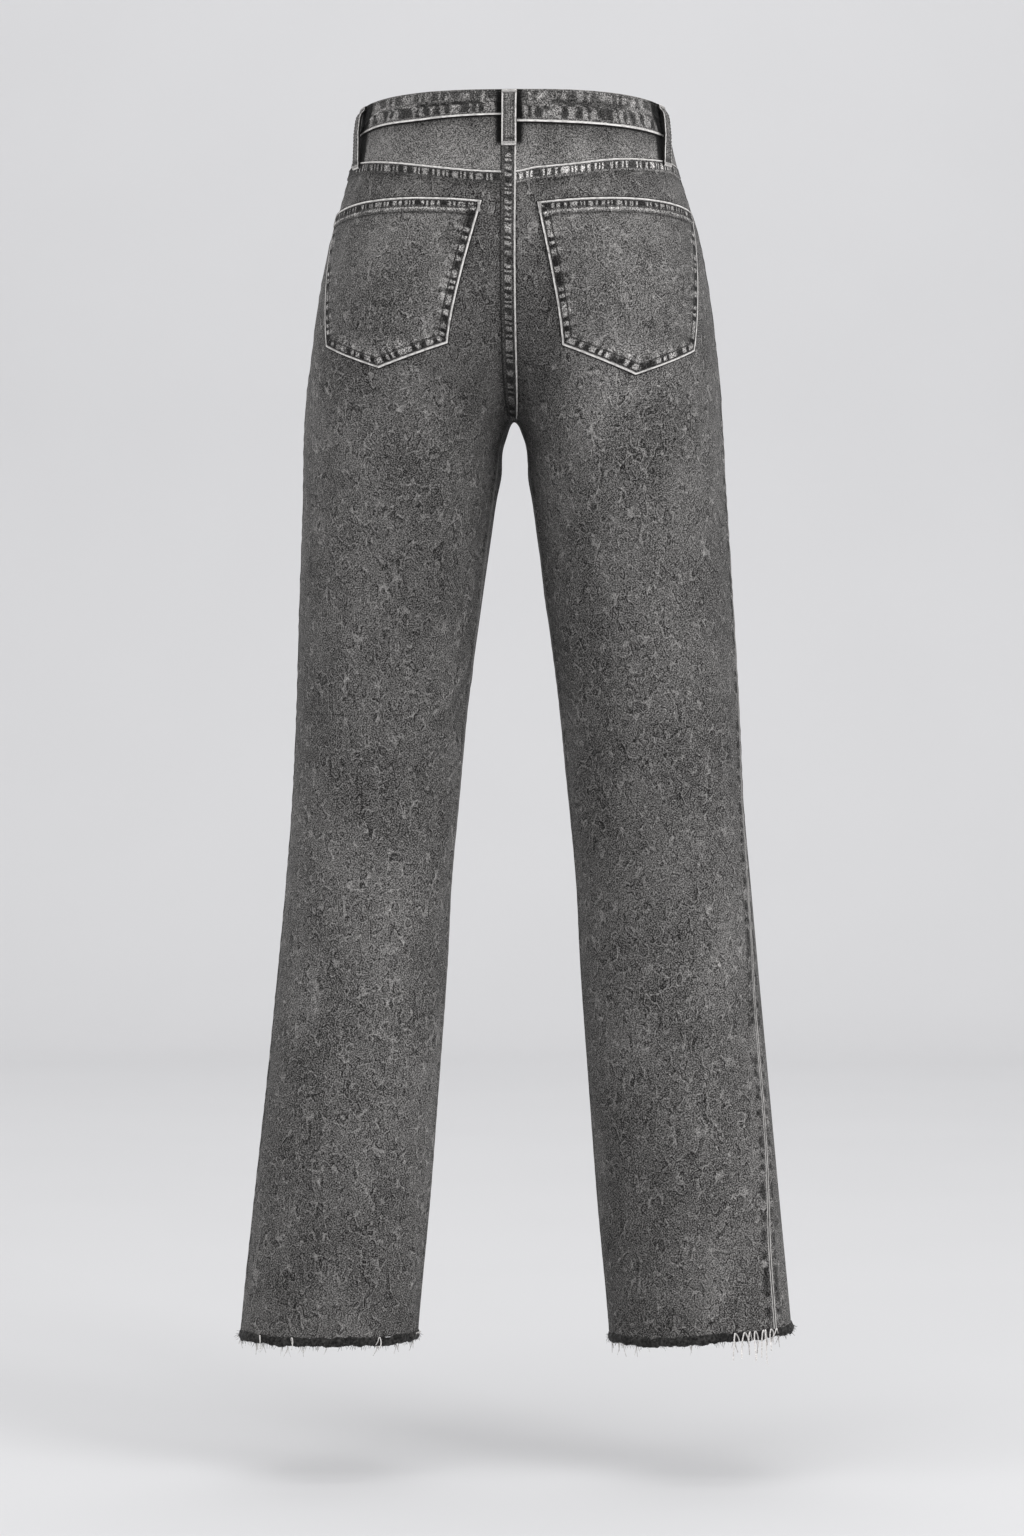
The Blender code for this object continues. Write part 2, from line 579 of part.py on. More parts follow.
def add_pocket_facing(side):
    """The denim that shows in the scoop; it runs on behind the front."""
    scoop_u, scoop_height = scoop(side, np.linspace(0.0, pi / 2, 40))
    heights = np.linspace(BAND_BOTTOM_SIDE - SEAM_GAP, SCOOP_BOTTOM - FACING_BELOW,
                          FACING_ROWS + 1)
    lengths = half_length(side, heights)
    edge = np.interp(-heights, -scoop_height, scoop_u) + FACING_OVERLAP / lengths
    start = side_seam(side, heights) + SEAM_GAP / 2 / lengths
    share = np.linspace(0.0, 1.0, FACING_COLUMNS + 1)
    u = start[:, None] + (edge - start)[:, None] * share
    height = np.broadcast_to(heights[:, None], u.shape)
    open_width = (edge[:, None] - u) * lengths[:, None] - FACING_OVERLAP
    inset = FACING_INSET * (1.0 - soft_step((open_width - FACING_LEVEL) / FACING_SINK))
    add_panel("pocket_facing_" + SIDE_NAMES[side], side, u, height, np.zeros_like(u), DENIM,
              outset=-inset, wall=FACING_WALL)


# ---------------------------------------------------------------------------------------------
# Waistband and button

BAND_PITCH = 0.0115         # length of a facet round the band
TUCK_STATIONS = (0.0350, 0.0220, 0.0090)                # under the left end, to the wearer's left
RISE_STATIONS = (0.0000, 0.0095, 0.0180, 0.0270, 0.0360)   # coming out, to the wearer's right
RISE_START = 0.0100
RISE_LENGTH = 0.0260
BUTTON_RADIUS = 0.0085
BUTTON_THICK = 0.0032
BUTTON_HEIGHT = -0.0045


def add_waistband():
    """A strip that starts under its own left end, goes round the back and ends over its start."""
    tuck = BAND_WALL + SEAM_GAP
    front_length = {side: half_length(side, 0.0) for side in (LEFT, RIGHT)}
    stations = []
    for ahead in TUCK_STATIONS:
        stations.append((LEFT, 1.0 - ahead / front_length[LEFT], tuck))
    for past in RISE_STATIONS:
        risen = soft_step((past - RISE_START) / RISE_LENGTH)
        stations.append((RIGHT, 1.0 - past / front_length[RIGHT], tuck * (1.0 - risen)))
    count = int(front_length[RIGHT] / BAND_PITCH)
    for u in np.linspace(stations[-1][1], JOG_SHARE, count)[1:]:
        stations.append((RIGHT, u, 0.0))
    stations.append((RIGHT, 0.0, 0.0))
    for u in np.linspace(JOG_SHARE, 1.0, count + 2):
        stations.append((LEFT, u, 0.0))
    stations.append((RIGHT, 1.0 - BAND_OVERLAP / front_length[RIGHT], 0.0))
    outer, inner = [], []
    for side, u, depth in stations:
        height = np.linspace(band_top(u), band_bottom(side, u), 4)
        share = np.full_like(height, u)
        outer.append(cloth(side, share, height, np.full_like(height, BAND_PROUD - depth)))
        inner.append(cloth(side, share, height,
                           np.full_like(height, BAND_PROUD - depth - BAND_WALL)))
    add_wall("waistband", np.array(outer), np.array(inner), DENIM_LIGHT)


def add_button():
    point = cloth(LEFT, 1.0, BUTTON_HEIGHT, BAND_PROUD + SEAM_GAP + 0.0003 + BUTTON_THICK / 2)
    normal = Vector(point - cloth(LEFT, 1.0, BUTTON_HEIGHT, 0.0)).normalized()
    bpy.ops.mesh.primitive_cylinder_add(vertices=24, radius=BUTTON_RADIUS, depth=BUTTON_THICK)
    button = bpy.context.object
    button.name = button.data.name = "waist_button"
    button.location = point
    button.rotation_mode = "QUATERNION"
    button.rotation_quaternion = normal.to_track_quat("Z", "Y")
    rim = button.modifiers.new("rounded rim", "BEVEL")
    rim.width = 0.0008
    rim.segments = 2
    button.data.materials.append(METAL)
    button.parent = GARMENT
    for collection in button.users_collection:
        collection.objects.unlink(button)
    COLLECTION.objects.link(button)


# ---------------------------------------------------------------------------------------------
# Patch pockets and belt loops

# Back pockets, per side: distances along the cloth from the centre back and heights of the top
# corners, the bottom corners and the point.
POCKET_COLUMNS = ("side", "top_in", "top_out", "low_in", "point", "low_out",
                  "height_top_in", "height_top_mid", "height_top_out",
                  "height_low_in", "height_point", "height_low_out")
POCKETS = (
    (LEFT, 0.0195, 0.1740, 0.0510, 0.1100, 0.1610, -0.0745, -0.0710, -0.0750,
     -0.1850, -0.2040, -0.1840),
    (RIGHT, 0.0215, 0.1780, 0.0455, 0.1100, 0.1600, -0.0760, -0.0715, -0.0740,
     -0.1865, -0.2100, -0.1890),
)
POCKET_ACROSS = (6, 6)      # facets on each side of the point
POCKET_DOWN = 11

LOOP_WIDTH = 0.0125
LOOP_PITCH = 0.0036         # how far a loop stands off the band
PANEL_CLEAR = 0.00045       # between a loop's foot and the cloth under it

# Stations down a loop: the line each is measured from, how far below it, what it lies on, and
# the share of the pitch that it stands off.
STATION_COLUMNS = ("line", "below", "on", "share")
LOOP_STATIONS = (
    ("top", 0.0000, "band", 0.00),
    ("top", 0.0030, "band", 0.00),
    ("top", 0.0070, "band", 0.80),
    ("top", 0.0120, "band", 1.00),
    ("edge", 0.0000, "band", 1.00),
    ("edge", 0.0050, "band", 0.80),
    ("foot", -0.0060, "cloth", 0.22),
    ("foot", -0.0030, "cloth", 0.00),
    ("foot", 0.0000, "cloth", 0.00),
)
LOOP_INSET = 0.0010         # the loop's top edge below the band's

# Signed distance from the centre back, and the height where the foot ends.
LOOP_COLUMNS = ("name", "distance", "foot")
LOOPS = (
    ("loop_back", 0.0, -0.0310),
    ("loop_side_left", 0.1395, -0.0420),
    ("loop_side_right", -0.1395, -0.0415),
    ("loop_front_left", 0.2950, -0.0290),
    ("loop_front_right", -0.2950, -0.0290),
)


def add_back_pocket(row):
    pocket = dict(zip(POCKET_COLUMNS, row))
    side = pocket["side"]
    point_share = ((pocket["point"] - pocket["low_in"]) / (pocket["low_out"] - pocket["low_in"]))
    across = np.concatenate((np.linspace(0.0, point_share, POCKET_ACROSS[0] + 1),
                             np.linspace(point_share, 1.0, POCKET_ACROSS[1] + 1)[1:]))
    top = pocket["top_in"] + (pocket["top_out"] - pocket["top_in"]) * across
    bow = 4.0 * across * (1.0 - across)
    chord = pocket["height_top_in"] + (pocket["height_top_out"]
                                       - pocket["height_top_in"]) * across
    lift = pocket["height_top_mid"] - (pocket["height_top_in"] + pocket["height_top_out"]) / 2
    top_height = chord + lift * bow
    low = pocket["low_in"] + (pocket["low_out"] - pocket["low_in"]) * across
    low_height = np.interp(low, [pocket["low_in"], pocket["point"], pocket["low_out"]],
                           [pocket["height_low_in"], pocket["height_point"],
                            pocket["height_low_out"]])
    down = np.linspace(0.0, 1.0, POCKET_DOWN + 1)[:, None]
    distance = top + (low - top) * down
    height = top_height + (low_height - top_height) * down
    u = distance / half_length(side, height)
    add_panel("back_pocket_" + SIDE_NAMES[side], side, u, height, np.zeros_like(u), DENIM,
              outset=POCKET_GAP + POCKET_WALL, wall=POCKET_WALL)


def add_loop(name, distance, foot):
    """A strip that is caught at the top of the band, stands off it and is caught below it."""
    length = half_length(LEFT, 0.0)
    u = abs(distance) / length
    seam = SEAM_RAISE if abs(distance) < length / 2 else 0.0
    side = LEFT if distance >= 0.0 else RIGHT
    lines = {"top": band_top(u) - LOOP_INSET, "edge": band_bottom(side, u), "foot": foot}
    levels = {"band": BAND_PROUD + SEAM_GAP, "cloth": seam + PANEL_CLEAR}
    stations = [dict(zip(STATION_COLUMNS, row)) for row in LOOP_STATIONS]
    heights = np.array([[lines[row["line"]] - row["below"]] for row in stations])
    offsets = np.array([[levels[row["on"]] + LOOP_PITCH * row["share"]] for row in stations])
    across = distance + np.array([-0.5, 0.0, 0.5]) * LOOP_WIDTH
    outer = cloth_from_back(across, heights, offsets + LOOP_WALL)
    inner = cloth_from_back(across, heights, offsets)
    add_wall(name, outer, inner, DENIM_LIGHT)


# ---------------------------------------------------------------------------------------------
# Frayed hems

HEM_STRIP = 0.0055          # height of the rolled raw edge
HEM_PROUD = 0.0008
HEM_WALL = 0.0028
HEM_STRANDS = 44
STRAND_ROOT = 0.0014
STRAND_MIN, STRAND_MAX = 0.0025, 0.0100


def strand_lengths(seed):
    """Uneven lengths: mostly short threads and a few long ones."""
    scatter = np.random.default_rng(seed)
    return STRAND_MIN + (STRAND_MAX - STRAND_MIN) * scatter.random(HEM_STRANDS) ** 2.2


def add_hem(side, seed):
    top = HEM_HEIGHT - SEAM_GAP
    low = top - HEM_STRIP
    length = half_length(side, low)
    starts = (np.arange(HEM_STRANDS) + 0.25) / HEM_STRANDS
    ends = starts + STRAND_ROOT / length
    shares = np.sort(np.concatenate((starts, ends)))
    ring = {}
    for key, height, out in (("top_out", top, HEM_PROUD * 0.6), ("low_out", low, HEM_PROUD),
                             ("low_in", low, HEM_PROUD - HEM_WALL),
                             ("top_in", top, HEM_PROUD - HEM_WALL)):
        ring[key] = cloth(side, np.mod(shares, 1.0), np.full_like(shares, height),
                          np.full_like(shares, out))
    bm = bmesh.new()
    loops = {key: [bm.verts.new(point) for point in points] for key, points in ring.items()}
    order = ("top_out", "low_out", "low_in", "top_in")
    count = len(shares)
    drops = strand_lengths(seed)
    lean = np.random.default_rng(seed + 1).uniform(-0.4, 0.4, (HEM_STRANDS, 2))
    for i in range(count):
        j = (i + 1) % count
        for first, second in zip(order, order[1:] + order[:1]):
            quad = (loops[first][i], loops[first][j], loops[second][j], loops[second][i])
            if (first, i % 2) != ("low_out", 0):
                bm.faces.new(quad)
                continue
            drop = drops[i // 2]
            root = [vert.co.copy() for vert in quad]
            middle = sum(root, Vector()) / 4
            tip = middle + Vector((lean[i // 2][0], lean[i // 2][1], -1.0)) * drop
            ends = [bm.verts.new(tip + (corner - middle) * 0.25) for corner in root]
            for k in range(4):
                bm.faces.new((quad[k], quad[(k + 1) % 4], ends[(k + 1) % 4], ends[k]))
            bm.faces.new(ends)
    add_object("hem_" + SIDE_NAMES[side], bm, DENIM_FRAYED)


# ---------------------------------------------------------------------------------------------

for old in list(bpy.data.objects):
    bpy.data.objects.remove(old, do_unlink=True)

COLLECTION = bpy.data.collections.new("straight_leg_jeans")
bpy.context.scene.collection.children.link(COLLECTION)
GARMENT = bpy.data.objects.new("jeans", None)
COLLECTION.objects.link(GARMENT)

DENIM = make_material("washed_denim", (0.100, 0.097, 0.095), 0.95)
DENIM_LIGHT = make_material("washed_denim_light", (0.170, 0.163, 0.158), 0.95)
DENIM_FRAYED = make_material("frayed_denim", (0.040, 0.038, 0.037), 1.0)
METAL = make_material("button_metal", (0.30, 0.29, 0.28), 0.35, 1.0)

for leg in (LEFT, RIGHT):
    add_back(leg)
    add_yoke(leg)
    add_front(leg)
    add_pocket_facing(leg)
    add_hem(leg, seed=7 + leg)
for pocket_row in POCKETS:
    add_back_pocket(pocket_row)
for loop_row in LOOPS:
    add_loop(*loop_row)
add_waistband()
add_button()
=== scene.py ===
"""Looks of the high-rise straight-leg jeans with raw hems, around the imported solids.

Units are metres. +Z is up, the front of the garment faces -Y and the wearer's left is +X.
The cloth surface is the one that the solids are made from, worked out again from the same
sections, seams and folds, here with a finer grid, small creases and puckered seams.
"""

from math import log, pi, radians, sqrt

import bpy
import numpy as np
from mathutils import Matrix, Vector


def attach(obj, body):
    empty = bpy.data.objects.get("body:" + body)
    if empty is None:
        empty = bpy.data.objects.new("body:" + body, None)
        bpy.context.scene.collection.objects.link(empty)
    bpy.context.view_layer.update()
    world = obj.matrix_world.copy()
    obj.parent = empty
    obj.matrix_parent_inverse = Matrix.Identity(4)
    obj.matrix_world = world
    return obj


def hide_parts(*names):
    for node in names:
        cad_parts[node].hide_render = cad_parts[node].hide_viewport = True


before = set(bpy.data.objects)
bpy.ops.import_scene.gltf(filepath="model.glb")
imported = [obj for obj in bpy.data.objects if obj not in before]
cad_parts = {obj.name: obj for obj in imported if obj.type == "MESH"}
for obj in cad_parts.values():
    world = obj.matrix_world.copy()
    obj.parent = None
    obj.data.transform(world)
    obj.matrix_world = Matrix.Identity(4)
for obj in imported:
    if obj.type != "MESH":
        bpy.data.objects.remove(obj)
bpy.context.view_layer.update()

# ---------------------------------------------------------------------------------------------
# Driving dimensions

BAND_TOP_BACK = 0.0145      # top edge of the waistband at the back, the sides and the front
BAND_TOP_SIDE = 0.0105
BAND_TOP_FRONT = 0.0080
BAND_BOTTOM_BACK = -0.0065  # its bottom edge: the band is creased and narrow at the back
BAND_BOTTOM_SIDE = -0.0170
BAND_SAG_RIGHT = 0.0056     # the edge hangs lower right of the back loop, and rises on the left
BAND_LIFT_LEFT = 0.0029
YOKE_BACK = -0.0510         # the yoke seam, a shallow V
YOKE_SIDE = -0.0360
YOKE_LIFT_RIGHT = 0.0028    # its right half arches a little more
CROTCH_HEIGHT = -0.2360
CROTCH_DEPTH = 0.0060       # where the crotch point lies, front to back
HEM_HEIGHT = -0.9620        # where the woven cloth ends and the frayed strip begins

SEAM_GAP = 0.0003           # between two pieces that are sewn together
PANEL_WALL = 0.0015
BAND_WALL = 0.0024
BAND_PROUD = 0.0009         # how far the band stands out of the yoke and the fronts
BAND_OVERLAP = 0.0080       # how far the left end passes the centre front
FACING_WALL = 0.0012
FACING_INSET = 0.0038       # how deep the pocket facing lies behind the front
POCKET_WALL = 0.0012
POCKET_GAP = 0.00045        # between a patch pocket and the panel under it
LOOP_WALL = 0.0018

SEAM_RAISE = 0.0008         # height of a felled or pressed seam
SEAM_BAND = 0.0060          # its half width
SEAM_SLOPE = 0.0025         # width of the slope beside it

# Horizontal sections of the cloth, top to bottom. outer_* and inner are the side and inseam
# edges of a leg lobe, measured from the centre plane (an inner edge below zero lies across it);
# middle and centre place the lobe's axis; back and front are its extremes; power squares it.
SECTION_COLUMNS = ("height", "outer_left", "outer_right", "inner", "middle", "back", "front",
                   "centre", "power")
SECTIONS = (
    (0.020, 0.1200, 0.1200, -0.0420, 0.0400, 0.0865, -0.0885, -0.0010, 2.15),
    (0.000, 0.1225, 0.1225, -0.0420, 0.0400, 0.0880, -0.0900, -0.0010, 2.15),
    (-0.030, 0.1285, 0.1285, -0.0380, 0.0420, 0.0940, -0.0930, 0.0000, 2.15),
    (-0.060, 0.1360, 0.1375, -0.0340, 0.0460, 0.1020, -0.0970, 0.0010, 2.20),
    (-0.090, 0.1448, 0.1468, -0.0280, 0.0520, 0.1080, -0.1010, 0.0020, 2.25),
    (-0.122, 0.1518, 0.1532, -0.0210, 0.0600, 0.1120, -0.1040, 0.0030, 2.30),
    (-0.155, 0.1572, 0.1580, -0.0135, 0.0680, 0.1110, -0.1055, 0.0030, 2.25),
    (-0.187, 0.1612, 0.1618, -0.0060, 0.0750, 0.1060, -0.1035, 0.0010, 2.20),
    (-0.212, 0.1648, 0.1645, 0.0015, 0.0800, 0.0995, -0.1010, -0.0010, 2.20),
    (-0.236, 0.1668, 0.1658, 0.0069, 0.0840, 0.0940, -0.0985, -0.0030, 2.15),
    (-0.250, 0.1676, 0.1668, 0.0104, 0.0870, 0.0915, -0.0970, -0.0040, 2.15),
    (-0.283, 0.1682, 0.1684, 0.0132, 0.0900, 0.0870, -0.0925, -0.0040, 2.10),
    (-0.315, 0.1690, 0.1704, 0.0170, 0.0925, 0.0835, -0.0885, -0.0040, 2.10),
    (-0.379, 0.1712, 0.1744, 0.0257, 0.0980, 0.0770, -0.0800, -0.0020, 2.10),
    (-0.475, 0.1738, 0.1800, 0.0384, 0.1060, 0.0700, -0.0700, 0.0000, 2.10),
    (-0.539, 0.1768, 0.1832, 0.0444, 0.1110, 0.0665, -0.0650, 0.0010, 2.10),
    (-0.603, 0.1816, 0.1888, 0.0504, 0.1160, 0.0645, -0.0600, 0.0020, 2.10),
    (-0.667, 0.1874, 0.1944, 0.0536, 0.1205, 0.0615, -0.0555, 0.0030, 2.10),
    (-0.763, 0.1968, 0.2032, 0.0604, 0.1285, 0.0585, -0.0495, 0.0050, 2.10),
    (-0.859, 0.2072, 0.2120, 0.0676, 0.1375, 0.0565, -0.0445, 0.0065, 2.10),
    (-0.955, 0.2170, 0.2210, 0.0764, 0.1465, 0.0565, -0.0410, 0.0080, 2.10),
    (-0.985, 0.2195, 0.2235, 0.0786, 0.1490, 0.0565, -0.0405, 0.0080, 2.10),
)

# The centre seam above the crotch: height over the crotch point, and the depth of the seam at
# the back and at the front.
RISE_COLUMNS = ("rise", "back", "front")
RISE = (
    (0.000, 0.0060, 0.0060),
    (0.005, 0.0260, -0.0130),
    (0.010, 0.0360, -0.0250),
    (0.020, 0.0520, -0.0420),
    (0.040, 0.0745, -0.0640),
    (0.060, 0.0895, -0.0790),
    (0.080, 0.0995, -0.0890),
    (0.110, 0.1075, -0.0980),
    (0.146, 0.1070, -0.1015),
    (0.176, 0.1015, -0.0980),
    (0.206, 0.0940, -0.0935),
    (0.236, 0.0885, -0.0905),
    (0.256, 0.0870, -0.0890),
)

# Depth of the side seams and of the inseam, which run a little behind the middle of the leg.
SEAM_COLUMNS = ("height", "side_left", "side_right", "inseam")
SEAMS = (
    (0.020, 0.004, 0.004, 0.006),
    (-0.100, 0.006, 0.006, 0.006),
    (-0.236, 0.004, 0.006, 0.006),
    (-0.260, 0.004, 0.006, 0.013),
    (-0.320, 0.003, 0.007, 0.019),
    (-0.400, 0.003, 0.010, 0.014),
    (-0.540, 0.005, 0.018, 0.008),
    (-0.700, 0.008, 0.028, 0.006),
    (-0.810, 0.009, 0.030, 0.006),
    (-0.900, 0.010, 0.036, 0.007),
    (-0.985, 0.010, 0.038, 0.008),
)

# Soft folds of the worn cloth, each along a line that runs from one point to another. A point is
# a distance along the cloth from the centre seam or inseam of that face, and a height.
LEFT, RIGHT = 1, -1
FOLD_FADE = 0.025           # folds fade out over this at the seams and below the pockets
FOLD_TOP = -0.215
FOLD_COLUMNS = ("side", "face", "start", "start_height", "to", "to_height", "width", "lift")
FOLDS = (
    (LEFT, "back", 0.112, -0.225, 0.062, -0.295, 0.013, 0.0024),
    (LEFT, "back", 0.058, -0.222, 0.050, -0.262, 0.010, 0.0016),
    (LEFT, "back", 0.140, -0.335, 0.122, -0.410, 0.022, 0.0018),
    (LEFT, "back", 0.124, -0.340, 0.076, -0.392, 0.015, -0.0018),
    (LEFT, "back", 0.122, -0.434, 0.076, -0.474, 0.020, 0.0016),
    (LEFT, "back", 0.150, -0.545, 0.050, -0.515, 0.020, -0.0022),
    (LEFT, "back", 0.060, -0.640, 0.150, -0.690, 0.026, 0.0014),
    (RIGHT, "back", 0.092, -0.222, 0.116, -0.276, 0.020, 0.0018),
    (RIGHT, "back", 0.058, -0.350, 0.066, -0.445, 0.022, -0.0018),
    (RIGHT, "back", 0.105, -0.385, 0.158, -0.446, 0.024, 0.0016),
    (RIGHT, "back", 0.055, -0.518, 0.140, -0.548, 0.020, -0.0022),
    (RIGHT, "back", 0.070, -0.700, 0.150, -0.655, 0.026, 0.0014),
    (LEFT, "front", 0.030, -0.246, 0.120, -0.228, 0.013, 0.0022),
    (LEFT, "front", 0.034, -0.276, 0.130, -0.262, 0.016, 0.0020),
    (LEFT, "front", 0.060, -0.520, 0.150, -0.550, 0.024, 0.0020),
    (RIGHT, "front", 0.030, -0.244, 0.116, -0.230, 0.013, 0.0022),
    (RIGHT, "front", 0.036, -0.280, 0.126, -0.264, 0.016, 0.0020),
    (RIGHT, "front", 0.060, -0.545, 0.150, -0.515, 0.024, 0.0020),
)

# ---------------------------------------------------------------------------------------------
# The cloth surface

LEVELS_BELOW = 260          # sections worked out below the crotch, and above it
LEVELS_ABOVE = 160
RING_POINTS = 161           # points round half a section
RAYS = 421
FAR = 0.30
CROTCH_ROW = [row[0] for row in SECTIONS].index(CROTCH_HEIGHT)
SMOOTH_CROTCH = SECTIONS[CROTCH_ROW][3] / log(2.0)   # the union's strength at the crotch point
HALF_STEP = 0.001           # for the gradient
SIDE_NAMES = {LEFT: "left", RIGHT: "right"}


def smooth_columns(rows, names, key, wanted):
    """Each named column as a smooth curve through its rows, read at the wanted keys."""
    table = {name: np.array([row[i] for row in rows]) for i, name in enumerate(names)}
    order = np.argsort(table[key])
    knots = table[key][order]
    cell = np.clip(np.searchsorted(knots, wanted) - 1, 0, len(knots) - 2)
    width = knots[cell + 1] - knots[cell]
    f = np.clip((wanted - knots[cell]) / width, 0.0, 1.0)
    curves = {}
    for name in names:
        if name == key:
            continue
        values = table[name][order]
        slopes = np.gradient(values, knots)
        curves[name] = ((1 + 2 * f) * (1 - f) ** 2 * values[cell]
                        + f * (1 - f) ** 2 * width * slopes[cell]
                        + f * f * (3 - 2 * f) * values[cell + 1]
                        - f * f * (1 - f) * width * slopes[cell + 1])
    return curves


def unit(vectors):
    return vectors / np.linalg.norm(vectors, axis=-1, keepdims=True)


FINE = np.arange(-0.990, 0.0225, 0.0005)
LOBES = smooth_columns(SECTIONS, SECTION_COLUMNS, "height", FINE)
SEAM_LINES = smooth_columns(SEAMS, SEAM_COLUMNS, "height", FINE)
RISE_ROOTS = [(sqrt(row[0]),) + row[1:] for row in RISE]
CENTRE_SEAM = smooth_columns(RISE_ROOTS, RISE_COLUMNS, "rise",
                             np.sqrt(np.maximum(FINE - CROTCH_HEIGHT, 0.0)))


def at_height(curve, height):
    return np.interp(height, FINE, curve)


def lobe_distance(x, y, height, outer):
    """How far a point lies outside one leg lobe, measured along the ray from its axis."""
    middle = at_height(LOBES["middle"], height)
    centre = at_height(LOBES["centre"], height)
    power = at_height(LOBES["power"], height)
    across = np.where(x > middle, at_height(LOBES[outer], height) - middle,
                      middle - at_height(LOBES["inner"], height))
    deep = np.where(y > centre, at_height(LOBES["back"], height) - centre,
                    centre - at_height(LOBES["front"], height))
    reach = (np.abs((x - middle) / across) ** power
             + np.abs((y - centre) / deep) ** power) ** (1.0 / power)
    return np.hypot(x - middle, y - centre) * (1.0 - 1.0 / np.maximum(reach, 0.05))


def union_strengths():
    """The smooth union's strength that puts the centre seam where RISE says, back and front."""
    strengths = {}
    for face in ("back", "front"):
        away = lobe_distance(np.zeros_like(FINE), CENTRE_SEAM[face], FINE, "outer_left")
        strengths[face] = np.where(FINE > CROTCH_HEIGHT, away / log(2.0), SMOOTH_CROTCH)
    return strengths


STRENGTHS = union_strengths()


def outside(x, y, height):
    """Signed distance, roughly, from the cloth: negative within the garment."""
    blend = np.clip((y - CROTCH_DEPTH) / 0.030 + 0.5, 0.0, 1.0)
    strength = (at_height(STRENGTHS["back"], height) * blend
                + at_height(STRENGTHS["front"], height) * (1.0 - blend))
    left = lobe_distance(x, y, height, "outer_left")
    right = lobe_distance(-x, y, height, "outer_right")
    near = np.minimum(left, right)
    return near - strength * np.log(np.exp((near - left) / strength)
                                    + np.exp((near - right) / strength))


def section_heights():
    """Heights of the sections, as rise roots: close together at the crotch."""
    below = np.linspace(-sqrt(CROTCH_HEIGHT - FINE[0] - HALF_STEP), 0.0, LEVELS_BELOW + 1)
    above = np.linspace(0.0, sqrt(FINE[-1] - HALF_STEP - CROTCH_HEIGHT), LEVELS_ABOVE + 1)
    return np.concatenate((below, above[1:]))


def half_rings(side):
    """Points, normals and length of half of every section, from the back seam or inseam
    round the side to the front seam or the inseam again."""
    heights = CROTCH_HEIGHT + np.sign(ROOTS) * ROOTS ** 2
    middle = at_height(LOBES["middle"], heights)
    centre = at_height(LOBES["centre"], heights)
    whole = ROOTS >= 0.0
    inseam = at_height(SEAM_LINES["inseam"], heights)
    start_x = np.where(whole, 0.0, at_height(LOBES["inner"], heights))
    start_y = np.where(whole, at_height(CENTRE_SEAM["back"], heights), inseam)
    end_y = np.where(whole, at_height(CENTRE_SEAM["front"], heights), inseam)
    first = np.mod(np.arctan2(start_y - centre, start_x - middle), 2 * pi)
    last = np.mod(np.arctan2(end_y - centre, start_x - middle), 2 * pi) - 2 * pi
    part = np.linspace(0.0, 1.0, RAYS)
    part = part - 0.85 * np.sin(2 * pi * part) / (2 * pi)
    angle = first[:, None] + (last - first)[:, None] * part
    inward = np.maximum(-np.cos(angle), 0.01)
    near = np.zeros_like(angle)
    far = np.minimum(np.where(inward > 0.01, middle[:, None] / inward, FAR), FAR)
    level = np.broadcast_to(heights[:, None], angle.shape)
    for _ in range(34):
        reach = (near + far) / 2
        x = middle[:, None] + reach * np.cos(angle)
        y = centre[:, None] + reach * np.sin(angle)
        out = outside(side * x, y, level) > 0.0
        far = np.where(out, reach, far)
        near = np.where(out, near, reach)
    x = np.maximum(middle[:, None] + near * np.cos(angle), 0.0)
    y = centre[:, None] + near * np.sin(angle)
    x[whole, 0] = x[whole, -1] = 0.0
    y[whole, 0], y[whole, -1] = start_y[whole], end_y[whole]
    along = np.cumsum(np.hypot(np.diff(x, prepend=x[:, :1]), np.diff(y, prepend=y[:, :1])), axis=1)
    ring = np.linspace(0.0, 1.0, RING_POINTS)
    points = np.empty((len(heights), RING_POINTS, 3))
    for row, length in enumerate(along[:, -1]):
        points[row, :, 0] = side * np.interp(ring * length, along[row], x[row])
        points[row, :, 1] = np.interp(ring * length, along[row], y[row])
        points[row, :, 2] = heights[row]
    return points, outward(points), along[:, -1]


def outward(points):
    """Unit normals of the cloth surface at points on it."""
    gradient = np.empty_like(points)
    for axis in range(3):
        step = np.zeros(3)
        step[axis] = HALF_STEP
        ahead, behind = points + step, points - step
        gradient[..., axis] = (outside(ahead[..., 0], ahead[..., 1], ahead[..., 2])
                               - outside(behind[..., 0], behind[..., 1], behind[..., 2]))
    return unit(gradient)


ROOTS = section_heights()
RINGS = {side: half_rings(side) for side in (LEFT, RIGHT)}


def root_of(height):
    above = height - CROTCH_HEIGHT
    return np.sign(above) * np.sqrt(np.abs(above))


def read_rings(table, u, height):
    """Reads one table of the rings between its sections and its points."""
    row = np.clip(np.interp(root_of(height), ROOTS, np.arange(len(ROOTS))), 0, len(ROOTS) - 1.001)
    column = np.clip(u, 0.0, 1.0) * (RING_POINTS - 1.001)
    i, j = row.astype(int), column.astype(int)
    f, g = (row - i)[..., None], (column - j)[..., None]
    return ((1 - f) * ((1 - g) * table[i, j] + g * table[i, j + 1])
            + f * ((1 - g) * table[i + 1, j] + g * table[i + 1, j + 1]))


def half_length(side, height):
    """Length of half a section, measured along the cloth."""
    return np.interp(root_of(height), ROOTS, RINGS[side][2])


def side_seam(side, height):
    """Where the side seam lies, as a share of the way from the back seam to the front one."""
    return np.interp(root_of(height), ROOTS, SIDE_SEAMS[side])


